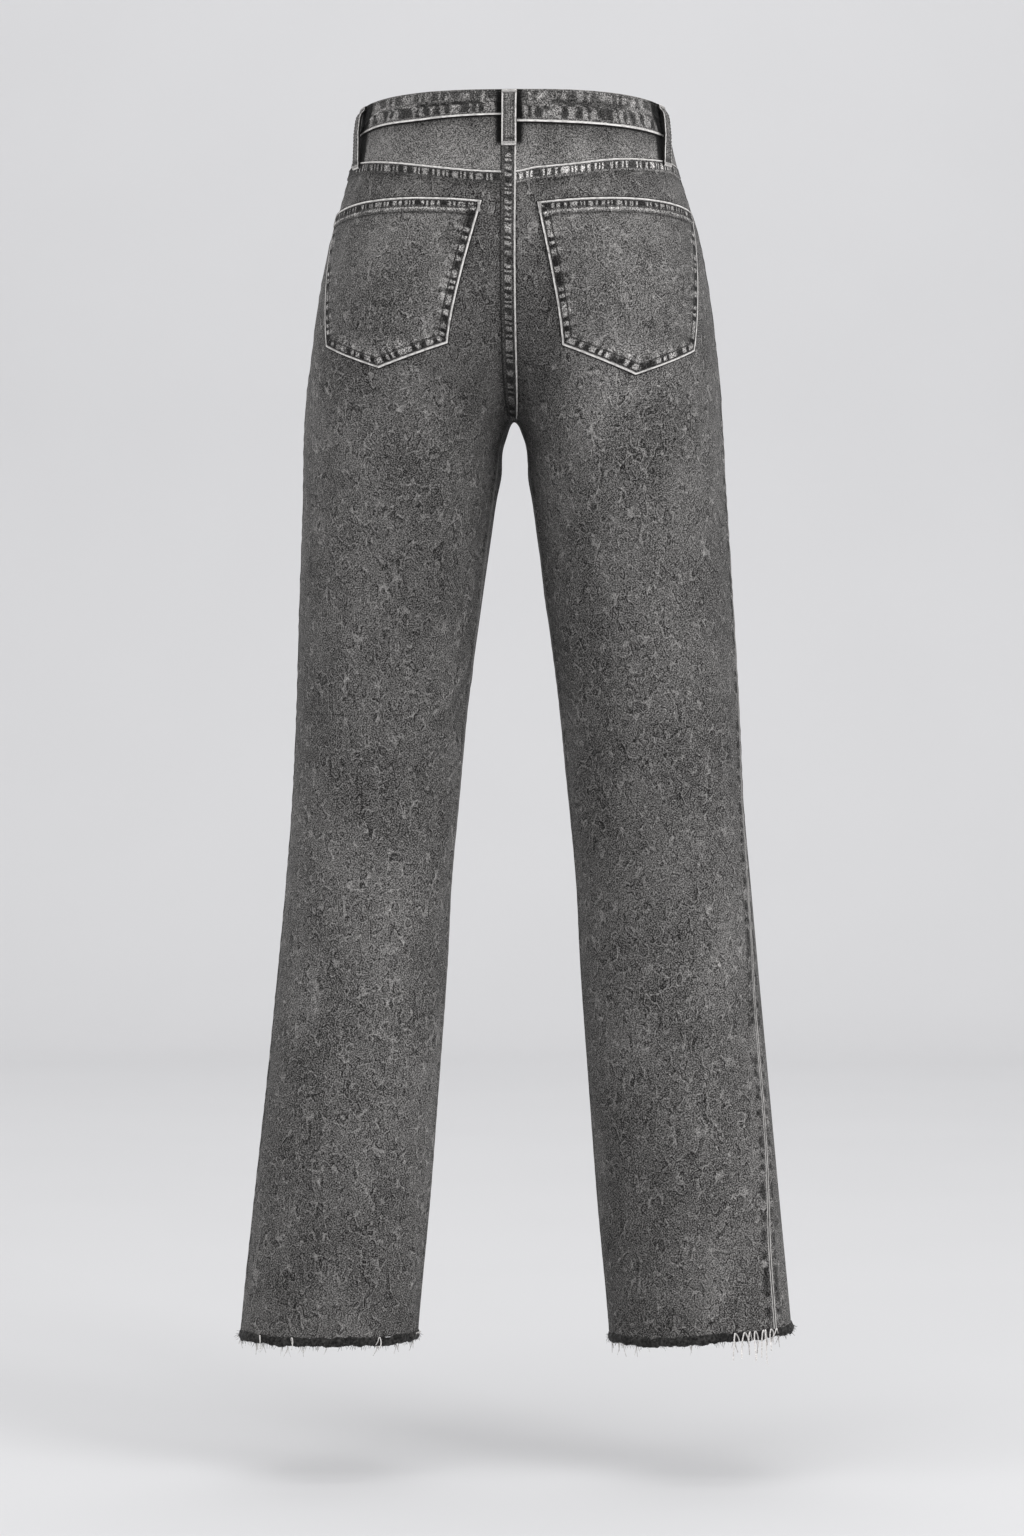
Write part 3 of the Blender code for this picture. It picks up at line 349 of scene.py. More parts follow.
def find_side_seam(side):
    points, _, _ = RINGS[side]
    line = at_height(SEAM_LINES["side_" + SIDE_NAMES[side]], points[:, 0, 2])
    shares = np.linspace(0.0, 1.0, RING_POINTS)
    found = []
    for ring, depth in zip(points, line):
        widest = int(np.argmax(side * ring[:, 0]))
        outer = slice(max(widest - 40, 0), widest + 40)
        found.append(np.interp(-depth, -ring[outer, 1], shares[outer]))
    return np.array(found)


SIDE_SEAMS = {side: find_side_seam(side) for side in (LEFT, RIGHT)}


def cloth(side, u, height, raised):
    """Points of the cloth, moved out by raised, with u the share of the way round."""
    points, normals, _ = RINGS[side]
    u, height = np.broadcast_arrays(np.asarray(u, float), np.asarray(height, float))
    normal = unit(read_rings(normals, u, height))
    raised = raised + fold_relief(side, u, height)
    return read_rings(points, u, height) + normal * raised[..., None]


def soft_step(value):
    value = np.clip(value, 0.0, 1.0)
    return value * value * (3.0 - 2.0 * value)


def between(value, low, high, soft):
    """1 from low to high, with soft edges, and 0 outside."""
    rise = soft_step((value - low + soft) / (2 * soft))
    return rise * soft_step((high + soft - value) / (2 * soft))


def near_line(across, height, start, high, end, low):
    """Share of the way along a line that is nearest to each place, and how far it lies off."""
    run, climb = end - start, low - high
    part = ((across - start) * run + (height - high) * climb) / (run * run + climb * climb)
    part = np.clip(part, 0.0, 1.0)
    return part, np.hypot(across - start - part * run, height - high - part * climb)


def with_tones(tone, distance, rows):
    """tone with lighter or darker bands, some the cloth's own grey and some painted shade: rows of
    low, high, softness and gain.
    """
    for low, high, soft, gain in rows:
        tone = tone * (1.0 + gain * between(distance, low, high, soft))
    return tone


def fold_relief(side, u, height):
    """How far the soft folds of the worn cloth stand out. They fade out at the inner seams."""
    length = half_length(side, height)
    relief = np.zeros(np.shape(u))
    for row in FOLDS:
        fold = dict(zip(FOLD_COLUMNS, row))
        if fold["side"] != side:
            continue
        across = (u if fold["face"] == "back" else 1.0 - u) * length
        away = near_line(across, height, fold["start"], fold["start_height"], fold["to"],
                         fold["to_height"])[1]
        fade = soft_step(across / FOLD_FADE) * soft_step((FOLD_TOP - height) / FOLD_FADE)
        relief = relief + fold["lift"] * np.exp(-(away / fold["width"]) ** 2) * fade
    return relief


def cloth_from_back(distance, height, raised):
    """Points of the cloth at a distance along it from the centre back: positive on the left."""
    distance, height, raised = np.broadcast_arrays(distance, height, raised)
    length = half_length(LEFT, height)
    on_left = cloth(LEFT, np.abs(distance) / length, height, raised)
    on_right = cloth(RIGHT, np.abs(distance) / length, height, raised)
    return np.where((distance >= 0.0)[..., None], on_left, on_right)


# The band's edge steps down behind the back loop, over this share of the way round to each side.
JOG_SHARE = SEAM_BAND / float(half_length(LEFT, YOKE_SIDE))


def band_top(u):
    return (BAND_TOP_BACK + (BAND_TOP_SIDE - BAND_TOP_BACK) * soft_step(u / 0.5)
            + (BAND_TOP_FRONT - BAND_TOP_SIDE) * soft_step((u - 0.5) / 0.5))


def band_bottom(side, u):
    signed = side * np.asarray(u)
    even = BAND_BOTTOM_BACK + (BAND_BOTTOM_SIDE - BAND_BOTTOM_BACK) * soft_step(u / 0.5)
    jog = np.clip((JOG_SHARE - signed) / (2 * JOG_SHARE), 0.0, 1.0)
    sag = BAND_SAG_RIGHT * jog * (1.0 - soft_step((u - 0.08) / 0.37))
    rise = BAND_LIFT_LEFT * soft_step((signed - 0.18) / 0.15)
    return even - sag + rise * (1.0 - soft_step((signed - 0.38) / 0.12))


def yoke_line(side, u):
    even = YOKE_BACK + (YOKE_SIDE - YOKE_BACK) * soft_step((u - 0.025) / 0.375)
    arch = soft_step((-side * np.asarray(u) - 0.01) / 0.05) * (1.0 - soft_step((u - 0.19) / 0.15))
    return even + YOKE_LIFT_RIGHT * arch


def seam_relief(distance):
    """How far a sewn seam raises the cloth beside it."""
    return SEAM_RAISE * (1.0 - np.clip((distance - SEAM_BAND) / SEAM_SLOPE, 0.0, 1.0))


# ---------------------------------------------------------------------------------------------
# Shaders

class Graph:
    """Builds one material's nodes from small expressions."""

    def __init__(self, name):
        self.material = bpy.data.materials.new(name)
        self.material.use_nodes = True
        self.tree = self.material.node_tree
        self.shader = self.tree.nodes["Principled BSDF"]

    def put(self, socket, value):
        if isinstance(value, bpy.types.NodeSocket):
            self.tree.links.new(value, socket)
        else:
            socket.default_value = value

    def math(self, operation, first, second=0.0, third=0.0):
        node = self.tree.nodes.new("ShaderNodeMath")
        node.operation = operation
        for socket, value in zip(node.inputs, (first, second, third)):
            self.put(socket, value)
        return node.outputs[0]

    def add(self, first, second):
        return self.math("ADD", first, second)

    def times(self, first, second):
        return self.math("MULTIPLY", first, second)

    def ramp(self, value, low, high, start=0.0, end=1.0):
        """A smooth step of value from low to high, giving start to end."""
        node = self.tree.nodes.new("ShaderNodeMapRange")
        node.interpolation_type = "SMOOTHSTEP"
        for name, number in (("From Min", low), ("From Max", high), ("To Min", start),
                             ("To Max", end)):
            node.inputs[name].default_value = number
        self.put(node.inputs["Value"], value)
        return node.outputs["Result"]

    def window(self, value, low, high, soft):
        return self.times(self.ramp(value, low - soft, low + soft),
                          self.ramp(value, high - soft, high + soft, 1.0, 0.0))

    def blend(self, first, second, share):
        """first where share is 0, second where it is 1."""
        return self.math("MULTIPLY_ADD", self.math("SUBTRACT", second, first), share, first)

    def attribute(self, name, output="Fac"):
        node = self.tree.nodes.new("ShaderNodeAttribute")
        node.attribute_name = name
        return node.outputs[output]

    def parts(self, vector):
        node = self.tree.nodes.new("ShaderNodeSeparateXYZ")
        self.put(node.inputs[0], vector)
        return node.outputs

    def join(self, x, y, z):
        node = self.tree.nodes.new("ShaderNodeCombineXYZ")
        for socket, value in zip(node.inputs, (x, y, z)):
            self.put(socket, value)
        return node.outputs[0]

    def place(self, stretch=(1.0, 1.0, 1.0)):
        """The point in the object's own metres, stretched along its axes."""
        node = self.tree.nodes.new("ShaderNodeTexCoord")
        mapping = self.tree.nodes.new("ShaderNodeMapping")
        mapping.inputs["Scale"].default_value = stretch
        self.tree.links.new(node.outputs["Object"], mapping.inputs["Vector"])
        return mapping.outputs["Vector"]

    def noise(self, vector, scale, detail=1.0, roughness=0.5):
        node = self.tree.nodes.new("ShaderNodeTexNoise")
        self.put(node.inputs["Vector"], vector)
        for name, number in (("Scale", scale), ("Detail", detail), ("Roughness", roughness)):
            node.inputs[name].default_value = number
        return node.outputs["Fac"]

    def gabor(self, vector, frequency):
        """Even ridges with that many waves a metre, from 0 to 1, turned every way."""
        node = self.tree.nodes.new("ShaderNodeTexGabor")
        node.gabor_type = "2D"
        self.put(node.inputs["Vector"], vector)
        for name, number in (("Scale", frequency / 2.0), ("Frequency", 2.0),
                             ("Anisotropy", 0.0), ("Orientation 2D", 0.0)):
            node.inputs[name].default_value = number
        return node.outputs["Value"]

    def finish(self, grey, tint, roughness, height=None, depth=0.0, sheen=0.0):
        """grey is linear reflectance, tint its colour, height the bump from 0 to 1."""
        colour = self.join(*(self.times(grey, share) for share in tint))
        self.put(self.shader.inputs["Base Color"], colour)
        self.put(self.shader.inputs["Roughness"], roughness)
        self.shader.inputs["Specular IOR Level"].default_value = 0.12
        self.shader.inputs["Sheen Weight"].default_value = sheen
        self.shader.inputs["Sheen Roughness"].default_value = 0.5
        if height is not None:
            bump = self.tree.nodes.new("ShaderNodeBump")
            bump.inputs["Strength"].default_value = 1.0
            bump.inputs["Distance"].default_value = depth
            self.put(bump.inputs["Height"], height)
            self.tree.links.new(bump.outputs["Normal"], self.shader.inputs["Normal"])
        return self.material


WARM = (1.030, 1.000, 0.975)        # the washed yarn's tint
RIPPLE = 520.0              # fine crinkles a metre in the washed cloth
CURL = 270.0                # coarser curls a metre, which come in patches


def strokes(g, vector, scale, gate):
    """Thin curved light lines, each with a dark line of painted shadow beside it, in patches."""
    field = g.noise(vector, scale, 0.0)
    light = g.ramp(g.math("ABSOLUTE", g.math("SUBTRACT", field, 0.50)), 0.005, 0.055, 1.0, 0.0)
    # the dark line beside each light one is a painted shadow
    dark = g.ramp(g.math("ABSOLUTE", g.math("SUBTRACT", field, 0.59)), 0.005, 0.055, 1.0, 0.0)
    return g.times(g.math("SUBTRACT", g.times(light, 1.00), g.times(dark, 0.62)), gate)


def washed(g, curl):
    """The washed cloth's uneven grey, with the painted shadow beside its light strokes, as a share
    to add, and its height for the bump.
    """
    flat = g.attribute("flat", "Vector")
    ripple = g.math("SUBTRACT", g.gabor(flat, RIPPLE), 0.5)
    patch = g.noise(g.place((1.0, 1.0, 0.8)), 105.0, 1.0)
    knot = g.times(g.math("SUBTRACT", g.gabor(flat, CURL), 0.5),
                   g.ramp(patch, 0.50, 0.70, 0.05, 0.5))
    first = strokes(g, g.place((1.0, 1.0, 0.62)), 150.0, g.ramp(patch, 0.44, 0.54))
    other = g.noise(g.place((1.0, 1.0, 0.8)), 118.0, 1.0)
    second = strokes(g, g.place((1.08, 1.08, 0.72)), 175.0, g.ramp(other, 0.47, 0.56))
    hair = g.add(first, second)
    weave = g.noise(g.place(), 1150.0, 2.0, 0.8)
    mottle = g.noise(g.place(), 75.0, 2.0, 0.6)
    cloud = g.noise(g.place((1.0, 1.0, 0.6)), 22.0, 2.0, 0.5)
    crinkle = g.add(g.times(ripple, 0.74), knot)
    fine = g.add(g.times(g.add(g.times(crinkle, 3.4), hair), curl),
                 g.ramp(weave, 0.28, 0.72, -1.65, 1.65))
    soft = g.add(g.ramp(mottle, 0.28, 0.72, -0.15, 0.15), g.ramp(cloud, 0.3, 0.7, -0.25, 0.25))
    height = g.add(g.times(g.add(g.times(crinkle, 1.2), g.times(hair, 0.9)), curl),
                   g.add(g.times(weave, 0.15), g.times(mottle, 0.35)))
    return g.add(fine, soft), height


def denim(name, base, line=None, bars=(0.0020, 0.0066), light=0.9, dark=0.55, rim=0.0, halo=0.0,
          blotch=(330.0, 0.55), relief=0.4, curl=1.0, soft=0.0006):
    """Washed denim. seam holds, at each point, the distance to the nearest sewn edge, the count
    of puckers along it and how strong they are; tone is how the cloth has faded, with painted
    shade. line is the worn edge's width and grey, bars the puckers' reach, rim the reach of a
    painted shadow, nearly black, at the very edge outside the line."""
    g = Graph(name)
    away, phase, strength = g.parts(g.attribute("seam", "Vector"))
    share, height = washed(g, curl)
    grey = g.times(g.math("MAXIMUM", g.add(share, 1.0), 0.10), g.times(g.attribute("tone"), base))

    ragged = g.noise(g.place(), blotch[0], 2.0, 0.6)
    wave = g.math("SINE", g.times(phase, 2 * pi))
    bar = g.ramp(g.add(wave, g.ramp(ragged, 0.3, 0.7, -blotch[1], blotch[1])), -0.60, 0.75)
    inside = g.times(g.window(away, bars[0], bars[1], soft), strength)
    grey = g.times(grey, g.blend(1.0, g.blend(1.0 - dark, 1.0 + light, bar), inside))
    if halo:
        fall = g.ramp(away, bars[1], bars[1] + HALO_REACH, 1.0, 0.0)
        rise = g.ramp(away, bars[1] - 0.0004, bars[1] + 0.0006)
        beyond = g.times(g.times(fall, rise), strength)
        grey = g.times(grey, g.blend(1.0, g.blend(1.0 - 0.3 * halo, 1.0 + halo, bar), beyond))
    if line:
        edge = g.add(away, g.ramp(ragged, 0.3, 0.7, -0.00025, 0.00025))
        worn = g.ramp(edge, line[0] * 1.25, line[0] * 0.75)
        worn = g.times(g.times(worn, strength), g.ramp(ragged, 0.30, 0.62, 0.45, 1.0))
        grey = g.blend(grey, line[1], worn)
    # painted shadow: nearly black within rim of the piece's edge
    if rim:
        grey = g.times(grey, g.ramp(away, rim * 0.7, rim * 1.2, 0.02, 1.0))
    height = g.add(height, g.times(g.times(bar, inside), relief))
    return g.finish(g.math("MAXIMUM", grey, 0.004), WARM, 0.92, height, 0.0005, sheen=0.05)


def thread(name, grey):
    g = Graph(name)
    fuzz = g.noise(g.place(), 900.0, 2.0, 0.6)
    return g.finish(g.ramp(fuzz, 0.25, 0.75, grey * 0.6, grey * 1.35), WARM, 0.8, fuzz, 0.0002)


def frayed(name, grey):
    g = Graph(name)
    lint = g.noise(g.place(), 420.0, 3.0, 0.7)
    dust = g.noise(g.place(), 90.0, 2.0, 0.6)
    value = g.times(g.ramp(lint, 0.35, 0.72, 0.35, 2.1), g.ramp(dust, 0.3, 0.7, 0.7, 1.3))
    return g.finish(g.times(value, grey), WARM, 0.95, lint, 0.0008, sheen=0.1)


def button_metal():
    g = Graph("button_metal")
    brushed = g.noise(g.place((1.0, 1.0, 6.0)), 500.0, 3.0, 0.6)
    spots = g.noise(g.place(), 260.0, 3.0, 0.6)
    g.shader.inputs["Metallic"].default_value = 1.0
    g.finish(g.ramp(spots, 0.3, 0.75, 0.16, 0.36), (1.02, 1.0, 0.96),
             g.ramp(brushed, 0.3, 0.7, 0.28, 0.5), brushed, 0.00005)
    g.shader.inputs["Specular IOR Level"].default_value = 0.5
    return g.material


HALO_REACH = 0.0090
# rim puts a nearly black painted shadow at the very edge of panels, pockets, band and loops
LEG = denim("leg_denim", 0.086, line=(0.0016, 0.42), bars=(0.0030, 0.0080), light=0.20,
            dark=0.66, rim=0.0005, blotch=(150.0, 0.9), soft=0.0020)
YOKE = denim("yoke_denim", 0.116, line=(0.0008, 0.35), bars=(0.0012, 0.0070), light=0.4,
             dark=0.35, curl=0.35)
LAP = denim("seam_denim", 0.080, line=(0.0013, 0.62), bars=(0.0026, 0.0080), light=2.4, dark=0.62,
            blotch=(230.0, 0.40), curl=0.30)
SEAT = denim("seat_seam_denim", 0.080, line=(0.0011, 0.58), bars=(0.0032, 0.0086), light=1.6,
             dark=0.66, blotch=(200.0, 0.55), curl=0.30)
POCKET = denim("pocket_denim", 0.094, line=(0.0022, 0.70), bars=(0.0034, 0.0074), light=1.25,
               dark=0.84, rim=0.0010, halo=0.85, blotch=(150.0, 0.36), curl=0.75)
BAND = denim("band_denim", 0.120, line=(0.0019, 0.72), bars=(0.0034, 0.0125), light=0.44,
             dark=0.74, rim=0.0006, blotch=(130.0, 0.9), curl=0.4)
LOOP = denim("loop_denim", 0.112, line=(0.0015, 0.68), bars=(0.0026, 0.0080), light=0.0, dark=0.0,
             rim=0.0004, curl=0.3)
FRAYED = frayed("frayed_denim", 0.021)
LINT = thread("loose_lint", 0.55)
CREAM = thread("cream_thread", 0.62)
SEWING = thread("sewing_thread", 0.05)
BARTACK = thread("bartack_thread", 0.36)
METAL = button_metal()


# ---------------------------------------------------------------------------------------------
# Meshes

INNER_TONE = 1.15           # the cloth's back is a little lighter
SHARP = radians(55.0)


def add_object(name, data):
    thing = bpy.data.objects.new(name, data)
    bpy.context.scene.collection.objects.link(thing)
    return thing


def link(name, points, faces, material, fields):
    """A mesh piece with its shader's fields, on the one body."""
    mesh = bpy.data.meshes.new(name)
    mesh.from_pydata(points.tolist(), [], faces)
    for key, values in fields.items():
        kind = "FLOAT" if values.ndim == 1 else "FLOAT_VECTOR"
        channel = mesh.attributes.new(key, kind, "POINT")
        channel.data.foreach_set("value" if values.ndim == 1 else "vector",
                                 values.astype(np.float32).ravel())
    mesh.materials.append(material)
    mesh.shade_smooth()
    mesh.set_sharp_from_angle(angle=SHARP)
    mesh.update()
    piece = add_object(name, mesh)
    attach(piece, "root")
    return piece


def stand_in(piece, node):
    """Lets a piece take the place of a solid."""
    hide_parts(node)
    return piece


def grid_quads(rows, columns):
    at = np.arange(rows * columns).reshape(rows, columns)
    return np.stack((at[:-1, :-1], at[1:, :-1], at[1:, 1:], at[:-1, 1:]), axis=-1).reshape(-1, 4)


def shell(name, outer, inner, material, at, away, phase, strength, tone, shade=1.0):
    """A closed wall of cloth between two grids, with the fields that its shader reads: at is
    the place on the flat cloth, as a distance round and a height, and shade is painted shade
    that darkens the outside only."""
    rows, columns = outer.shape[:2]
    count = rows * columns
    quads = grid_quads(rows, columns)
    index = np.arange(count).reshape(rows, columns)
    edge = np.concatenate((index[0], index[1:, -1], index[-1, -2::-1], index[-2:0:-1, 0]))
    ahead = np.roll(edge, -1)
    rim = np.stack((edge, ahead, ahead + count, edge + count), axis=-1)
    faces = np.concatenate((quads, quads[:, ::-1] + count, rim))
    middle = (rows // 2, columns // 2)
    down = outer[middle[0] + 1, middle[1]] - outer[middle]
    across = outer[middle[0], middle[1] + 1] - outer[middle]
    if np.dot(np.cross(down, across), outer[middle] - inner[middle]) < 0.0:
        faces = faces[:, ::-1]
    full = [np.broadcast_to(values, (rows, columns))
            for values in (away, phase, strength, tone, tone * shade)]
    seam = np.stack([values.ravel() for values in full[:3]], axis=-1)
    plain = seam * (1.0, 1.0, 0.0)
    flat = [np.broadcast_to(values, (rows, columns)).ravel() for values in (*at, 0.0)]
    flat = np.stack(flat, axis=-1)
    fields = {"seam": np.concatenate((seam, plain)), "flat": np.concatenate((flat, flat)),
              "tone": np.concatenate((full[4].ravel(), full[3].ravel() * INNER_TONE))}
    points = np.concatenate((outer.reshape(-1, 3), inner.reshape(-1, 3)))
    return link(name, points, faces.tolist(), material, fields)


EDGE_ROLL = 0.0007          # radius of a turned edge


def rolled(distance, radius=EDGE_ROLL):
    """How far a turned edge falls away at a distance from it."""
    part = 1.0 - np.clip(distance / radius, 0.0, 1.0)
    return radius * (1.0 - np.sqrt(1.0 - part * part))


def pucker_count(along, pitch, seed):
    """Puckers counted along a seam: nearly even, as sewing and washing leave them."""
    drift = np.random.default_rng(seed).uniform(0.0, 2 * pi, 3)
    turns = along / pitch
    return (turns + 0.26 * np.sin(turns * 1.7 + drift[0]) + 0.20 * np.sin(turns * 2.9 + drift[1])
            + 0.45 * np.sin(turns * 0.43 + drift[2]))


def spot(across, height, at, at_height_, wide, tall):
    return np.exp(-((across - at) / wide) ** 2 - ((height - at_height_) / tall) ** 2)


# ---------------------------------------------------------------------------------------------
# Belt loops' sizes, which the painted shade beside them needs too

LOOP_WIDTH = 0.0125
LOOP_PITCH = 0.0036
PANEL_CLEAR = 0.00045
LOOP_INSET = 0.0010
# Stations down a loop: the line each is measured from, how far below it, what it lies on, and
# the share of the pitch that it stands off.
LOOP_STATIONS = (
    ("top", 0.0000, "band", 0.00),
    ("top", 0.0030, "band", 0.00),
    ("top", 0.0070, "band", 0.80),
    ("top", 0.0120, "band", 1.00),
    ("edge", 0.0000, "band", 1.00),
    ("edge", 0.0050, "band", 0.80),
    ("foot", -0.0060, "cloth", 0.22),
    ("foot", -0.0030, "cloth", 0.00),
    ("foot", 0.0000, "cloth", 0.00),
)
LOOPS = (
    ("loop_back", 0.0, -0.0310),
    ("loop_side_left", 0.1395, -0.0420),
    ("loop_side_right", -0.1395, -0.0415),
    ("loop_front_left", 0.2950, -0.0290),
    ("loop_front_right", -0.2950, -0.0290),
)
LOOPS_SHADING = 3           # the loop behind and those at the sides get painted shade on the cloth beside them
LOOP_PAINTED_SHADE = 0.96            # how dark the painted shade is beside a loop
LOOP_SHADE = (0.0044, 0.0016)   # reach and softness of that shade
LOOP_HOLLOW_SHADE = (0.0060, 0.012, 0.014)    # how much wider the painted shade is at the top, down to where, softness
LOOP_LEE = 0.0008           # its reach on the side loops' outer side
LOOP_FOOT_SOFT = 0.004


# ---------------------------------------------------------------------------------------------
# Fading of the cloth, and painted shade

FOLD_WEAR_AND_SHADE_GAIN = 22.0       # how much a metre of relief lightens ridges, as wear, and darkens hollows, as painted shade
LEG_CREASE_WEAR_AND_SHADE = 520.0
BAND_CREASE_WEAR_AND_SHADE = 1150.0        # and on the waistband
BOTH = 0                    # a row that stands for both sides
# Soft lighter and darker places, per side and face, of the washed cloth's faded places and of
# painted shade: distance along the cloth from the centre seam or inseam of that face, height,
# half width, half height and the share they add.
FADE_AND_SHADE_COLUMNS = ("side", "face", "across", "height", "wide", "tall", "gain")
FADES_AND_SHADE = (
    # the darker rows at across 0 are painted shade in the crotch and down the inner thighs
    (BOTH, "back", 0.000, -0.215, 0.016, 0.055, -0.55),
    (BOTH, "back", 0.000, -0.290, 0.026, 0.060, -0.45),
    (LEFT, "back", 0.000, -0.380, 0.030, 0.080, -0.30),
    (RIGHT, "back", 0.000, -0.400, 0.034, 0.110, -0.35),
    (LEFT, "back", 0.050, -0.130, 0.060, 0.110, -0.14),
    (LEFT, "back", 0.090, -0.390, 0.060, 0.110, -0.20),
    (LEFT, "back", 0.030, -0.400, 0.020, 0.060, 0.10),
    (LEFT, "back", 0.050, -0.700, 0.050, 0.160, 0.12),
    (RIGHT, "back", 0.130, -0.800, 0.040, 0.280, 0.15),
    (RIGHT, "back", 0.030, -0.160, 0.020, 0.060, -0.12),
    (LEFT, "back", 0.045, -0.215, 0.030, 0.040, -0.18),
    (LEFT, "back", 0.190, -0.190, 0.030, 0.070, 0.16),
    (LEFT, "back", 0.130, -0.900, 0.060, 0.110, -0.16),
    (RIGHT, "back", 0.045, -0.900, 0.055, 0.130, -0.26),
    (RIGHT, "back", 0.110, -0.215, 0.050, 0.050, 0.32),
    (RIGHT, "back", 0.030, -0.220, 0.024, 0.040, -0.14),
    (LEFT, "back", 0.020, -0.640, 0.050, 0.120, 0.08),
    (RIGHT, "back", 0.070, -0.520, 0.050, 0.170, -0.18),
    (RIGHT, "back", 0.060, -0.720, 0.050, 0.160, -0.08),
    (RIGHT, "back", 0.110, -0.140, 0.060, 0.080, 0.10),
    (BOTH, "front", 0.000, -0.250, 0.020, 0.070, -0.45),
    (BOTH, "front", 0.110, -0.330, 0.045, 0.150, 0.30),
    (BOTH, "front", 0.100, -0.560, 0.045, 0.090, 0.18),
)


def fading_and_shade(side, u, height):
    """How far the cloth has faded, with painted shade, as a factor, from the table of soft places.
    """
    length = half_length(side, height)
    tone = np.ones(np.broadcast(u, height).shape)
    for row in FADES_AND_SHADE:
        fade = dict(zip(FADE_AND_SHADE_COLUMNS, row))
        if fade["side"] not in (side, BOTH):
            continue
        across = (u if fade["face"] == "back" else 1.0 - u) * length
        tone = tone * (1.0 + fade["gain"] * spot(across, height, fade["across"], fade["height"],
                                                 fade["wide"], fade["tall"]))
    return tone


def painted_loop_shade(signed, height):
    """Painted shade on the cloth beside the belt loops behind and at the sides, as a factor."""
    tone = np.ones(np.broadcast(signed, height).shape)
    for _, at, foot in LOOPS[:LOOPS_SHADING]:
        beside = np.abs(signed - at) - LOOP_WIDTH / 2
        reach = LOOP_SHADE[0]
        if at:
            wider, down_to, soft = LOOP_HOLLOW_SHADE
            reach = reach + wider * soft_step((height + down_to) / soft)
            reach = np.where((signed - at) * at < 0.0, reach, LOOP_LEE)
        shade = between(beside, -0.010, reach, LOOP_SHADE[1])
        tone = tone * (1.0 - LOOP_PAINTED_SHADE * (shade * soft_step((height - foot) / LOOP_FOOT_SOFT)))
    return tone


# ---------------------------------------------------------------------------------------------
# Leg panels and yokes

EDGE_STEPS = (0.00015, 0.0004, 0.0008, 0.0014, 0.0022, 0.0032, 0.0045, 0.0060, 0.0078, 0.0100,
              0.0125)
MIDDLE_STEPS = 76           # steps between the fine edges of a panel's row
RISE_STEPS = 84
NEAR_STEPS = 26             # rows close below the crotch, and how far down they go
NEAR_DEPTH = 0.095
LEG_STEPS = 206
CROTCH_SIDE = -0.2450
SEAT_LAP = (-0.0056, 0.0066)    # edges of the felled seat seam, from the centre back
YOKE_LAP = 0.0100           # depth of the felled yoke seam
LAP_RAISE = 0.00085
# Painted shade on the cloth beside sewn edges, where one piece laps over another: from, to,
# softness and gain, measured from the edge.
UNDER_YOKE_PAINTED_SHADE = ((-0.002, 0.0040, 0.0025, -0.30),)
BESIDE_SEAT = (-0.001, 0.0016, 0.0012)
BESIDE_SEAT_PAINTED_SHADE = {LEFT: 0.30, RIGHT: 0.50}
YOKE_SEAM_PAINTED_SHADE = ((-0.001, 0.0009, 0.0005, -0.60),)
UNDER_BAND_PAINTED_SHADE = ((-0.001, 0.0012, 0.0006, -0.75), (-0.001, 0.0050, 0.0030, -0.25))
YOKE_TONE = (0.76, 0.46)    # at the yoke seam, and what the band's edge adds
SIDE_PITCH = 0.0175         # of the puckers down the side seams and inseams
SIDE_PUCKER = 0.00020
SCOOP_TOP = 0.0880
SCOOP_BOTTOM = -0.1000


# Creases of the legs: side, face, then distance from the centre seam or inseam and height of
# both ends, half width and lift.
LEG_CREASES = (
    (RIGHT, "back", 0.0081, -0.244, 0.0105, -0.285, 0.0030, 0.00060),
    (RIGHT, "back", 0.0105, -0.285, 0.0031, -0.348, 0.0030, 0.00060),
    (RIGHT, "front", 0.0050, -0.360, 0.0116, -0.410, 0.0030, 0.00060),
    (RIGHT, "front", 0.0116, -0.410, 0.0052, -0.530, 0.0030, 0.00050),
    (RIGHT, "back", 0.0040, -0.585, 0.0239, -0.622, 0.0034, 0.00045),
    (LEFT, "back", 0.0181, -0.348, 0.0293, -0.400, 0.0034, 0.00060),
    (LEFT, "back", 0.0074, -0.423, 0.0376, -0.459, 0.0036, 0.00070),
    (LEFT, "back", 0.0376, -0.459, 0.0590, -0.471, 0.0042, 0.00055),
    (LEFT, "back", 0.0120, -0.445, 0.0420, -0.482, 0.0040, -0.00050),
    (LEFT, "front", 0.0080, -0.430, 0.0420, -0.462, 0.0038, 0.00065),
    (RIGHT, "front", 0.0180, -0.452, 0.0560, -0.476, 0.0040, 0.00060),
    (LEFT, "front", 0.0160, -0.205, 0.0720, -0.178, 0.0050, 0.00070),
    (RIGHT, "front", 0.0170, -0.208, 0.0780, -0.186, 0.0050, 0.00070),
    (LEFT, "front", 0.0220, -0.226, 0.0840, -0.212, 0.0050, 0.00060),
    (RIGHT, "front", 0.0200, -0.232, 0.0760, -0.221, 0.0050, 0.00060),
)
HEM_RISE = {LEFT: 0.0, RIGHT: 0.0075}   # how far the hem climbs towards the side seam
HEM_RISE_FROM = 0.08
HEM_RISE_OVER = 0.36
HEM_SETTLE = 0.090          # height over which the rise dies away


def leg_creases(side, face, to_inner, height):
    """Lift of the small creases at each place of a panel."""
    lift = np.zeros(np.broadcast(to_inner, height).shape)
    for crease_side, crease_face, start, high, end, low, wide, rise in LEG_CREASES:
        if (crease_side, crease_face) != (side, face):
            continue
        part, off = near_line(to_inner, height, start, high, end, low)
        ends = np.sqrt(np.sin(pi * np.clip(part, 0.04, 0.96)))
        lift = lift + rise * np.exp(-(off / wide) ** 2) * ends
    return lift


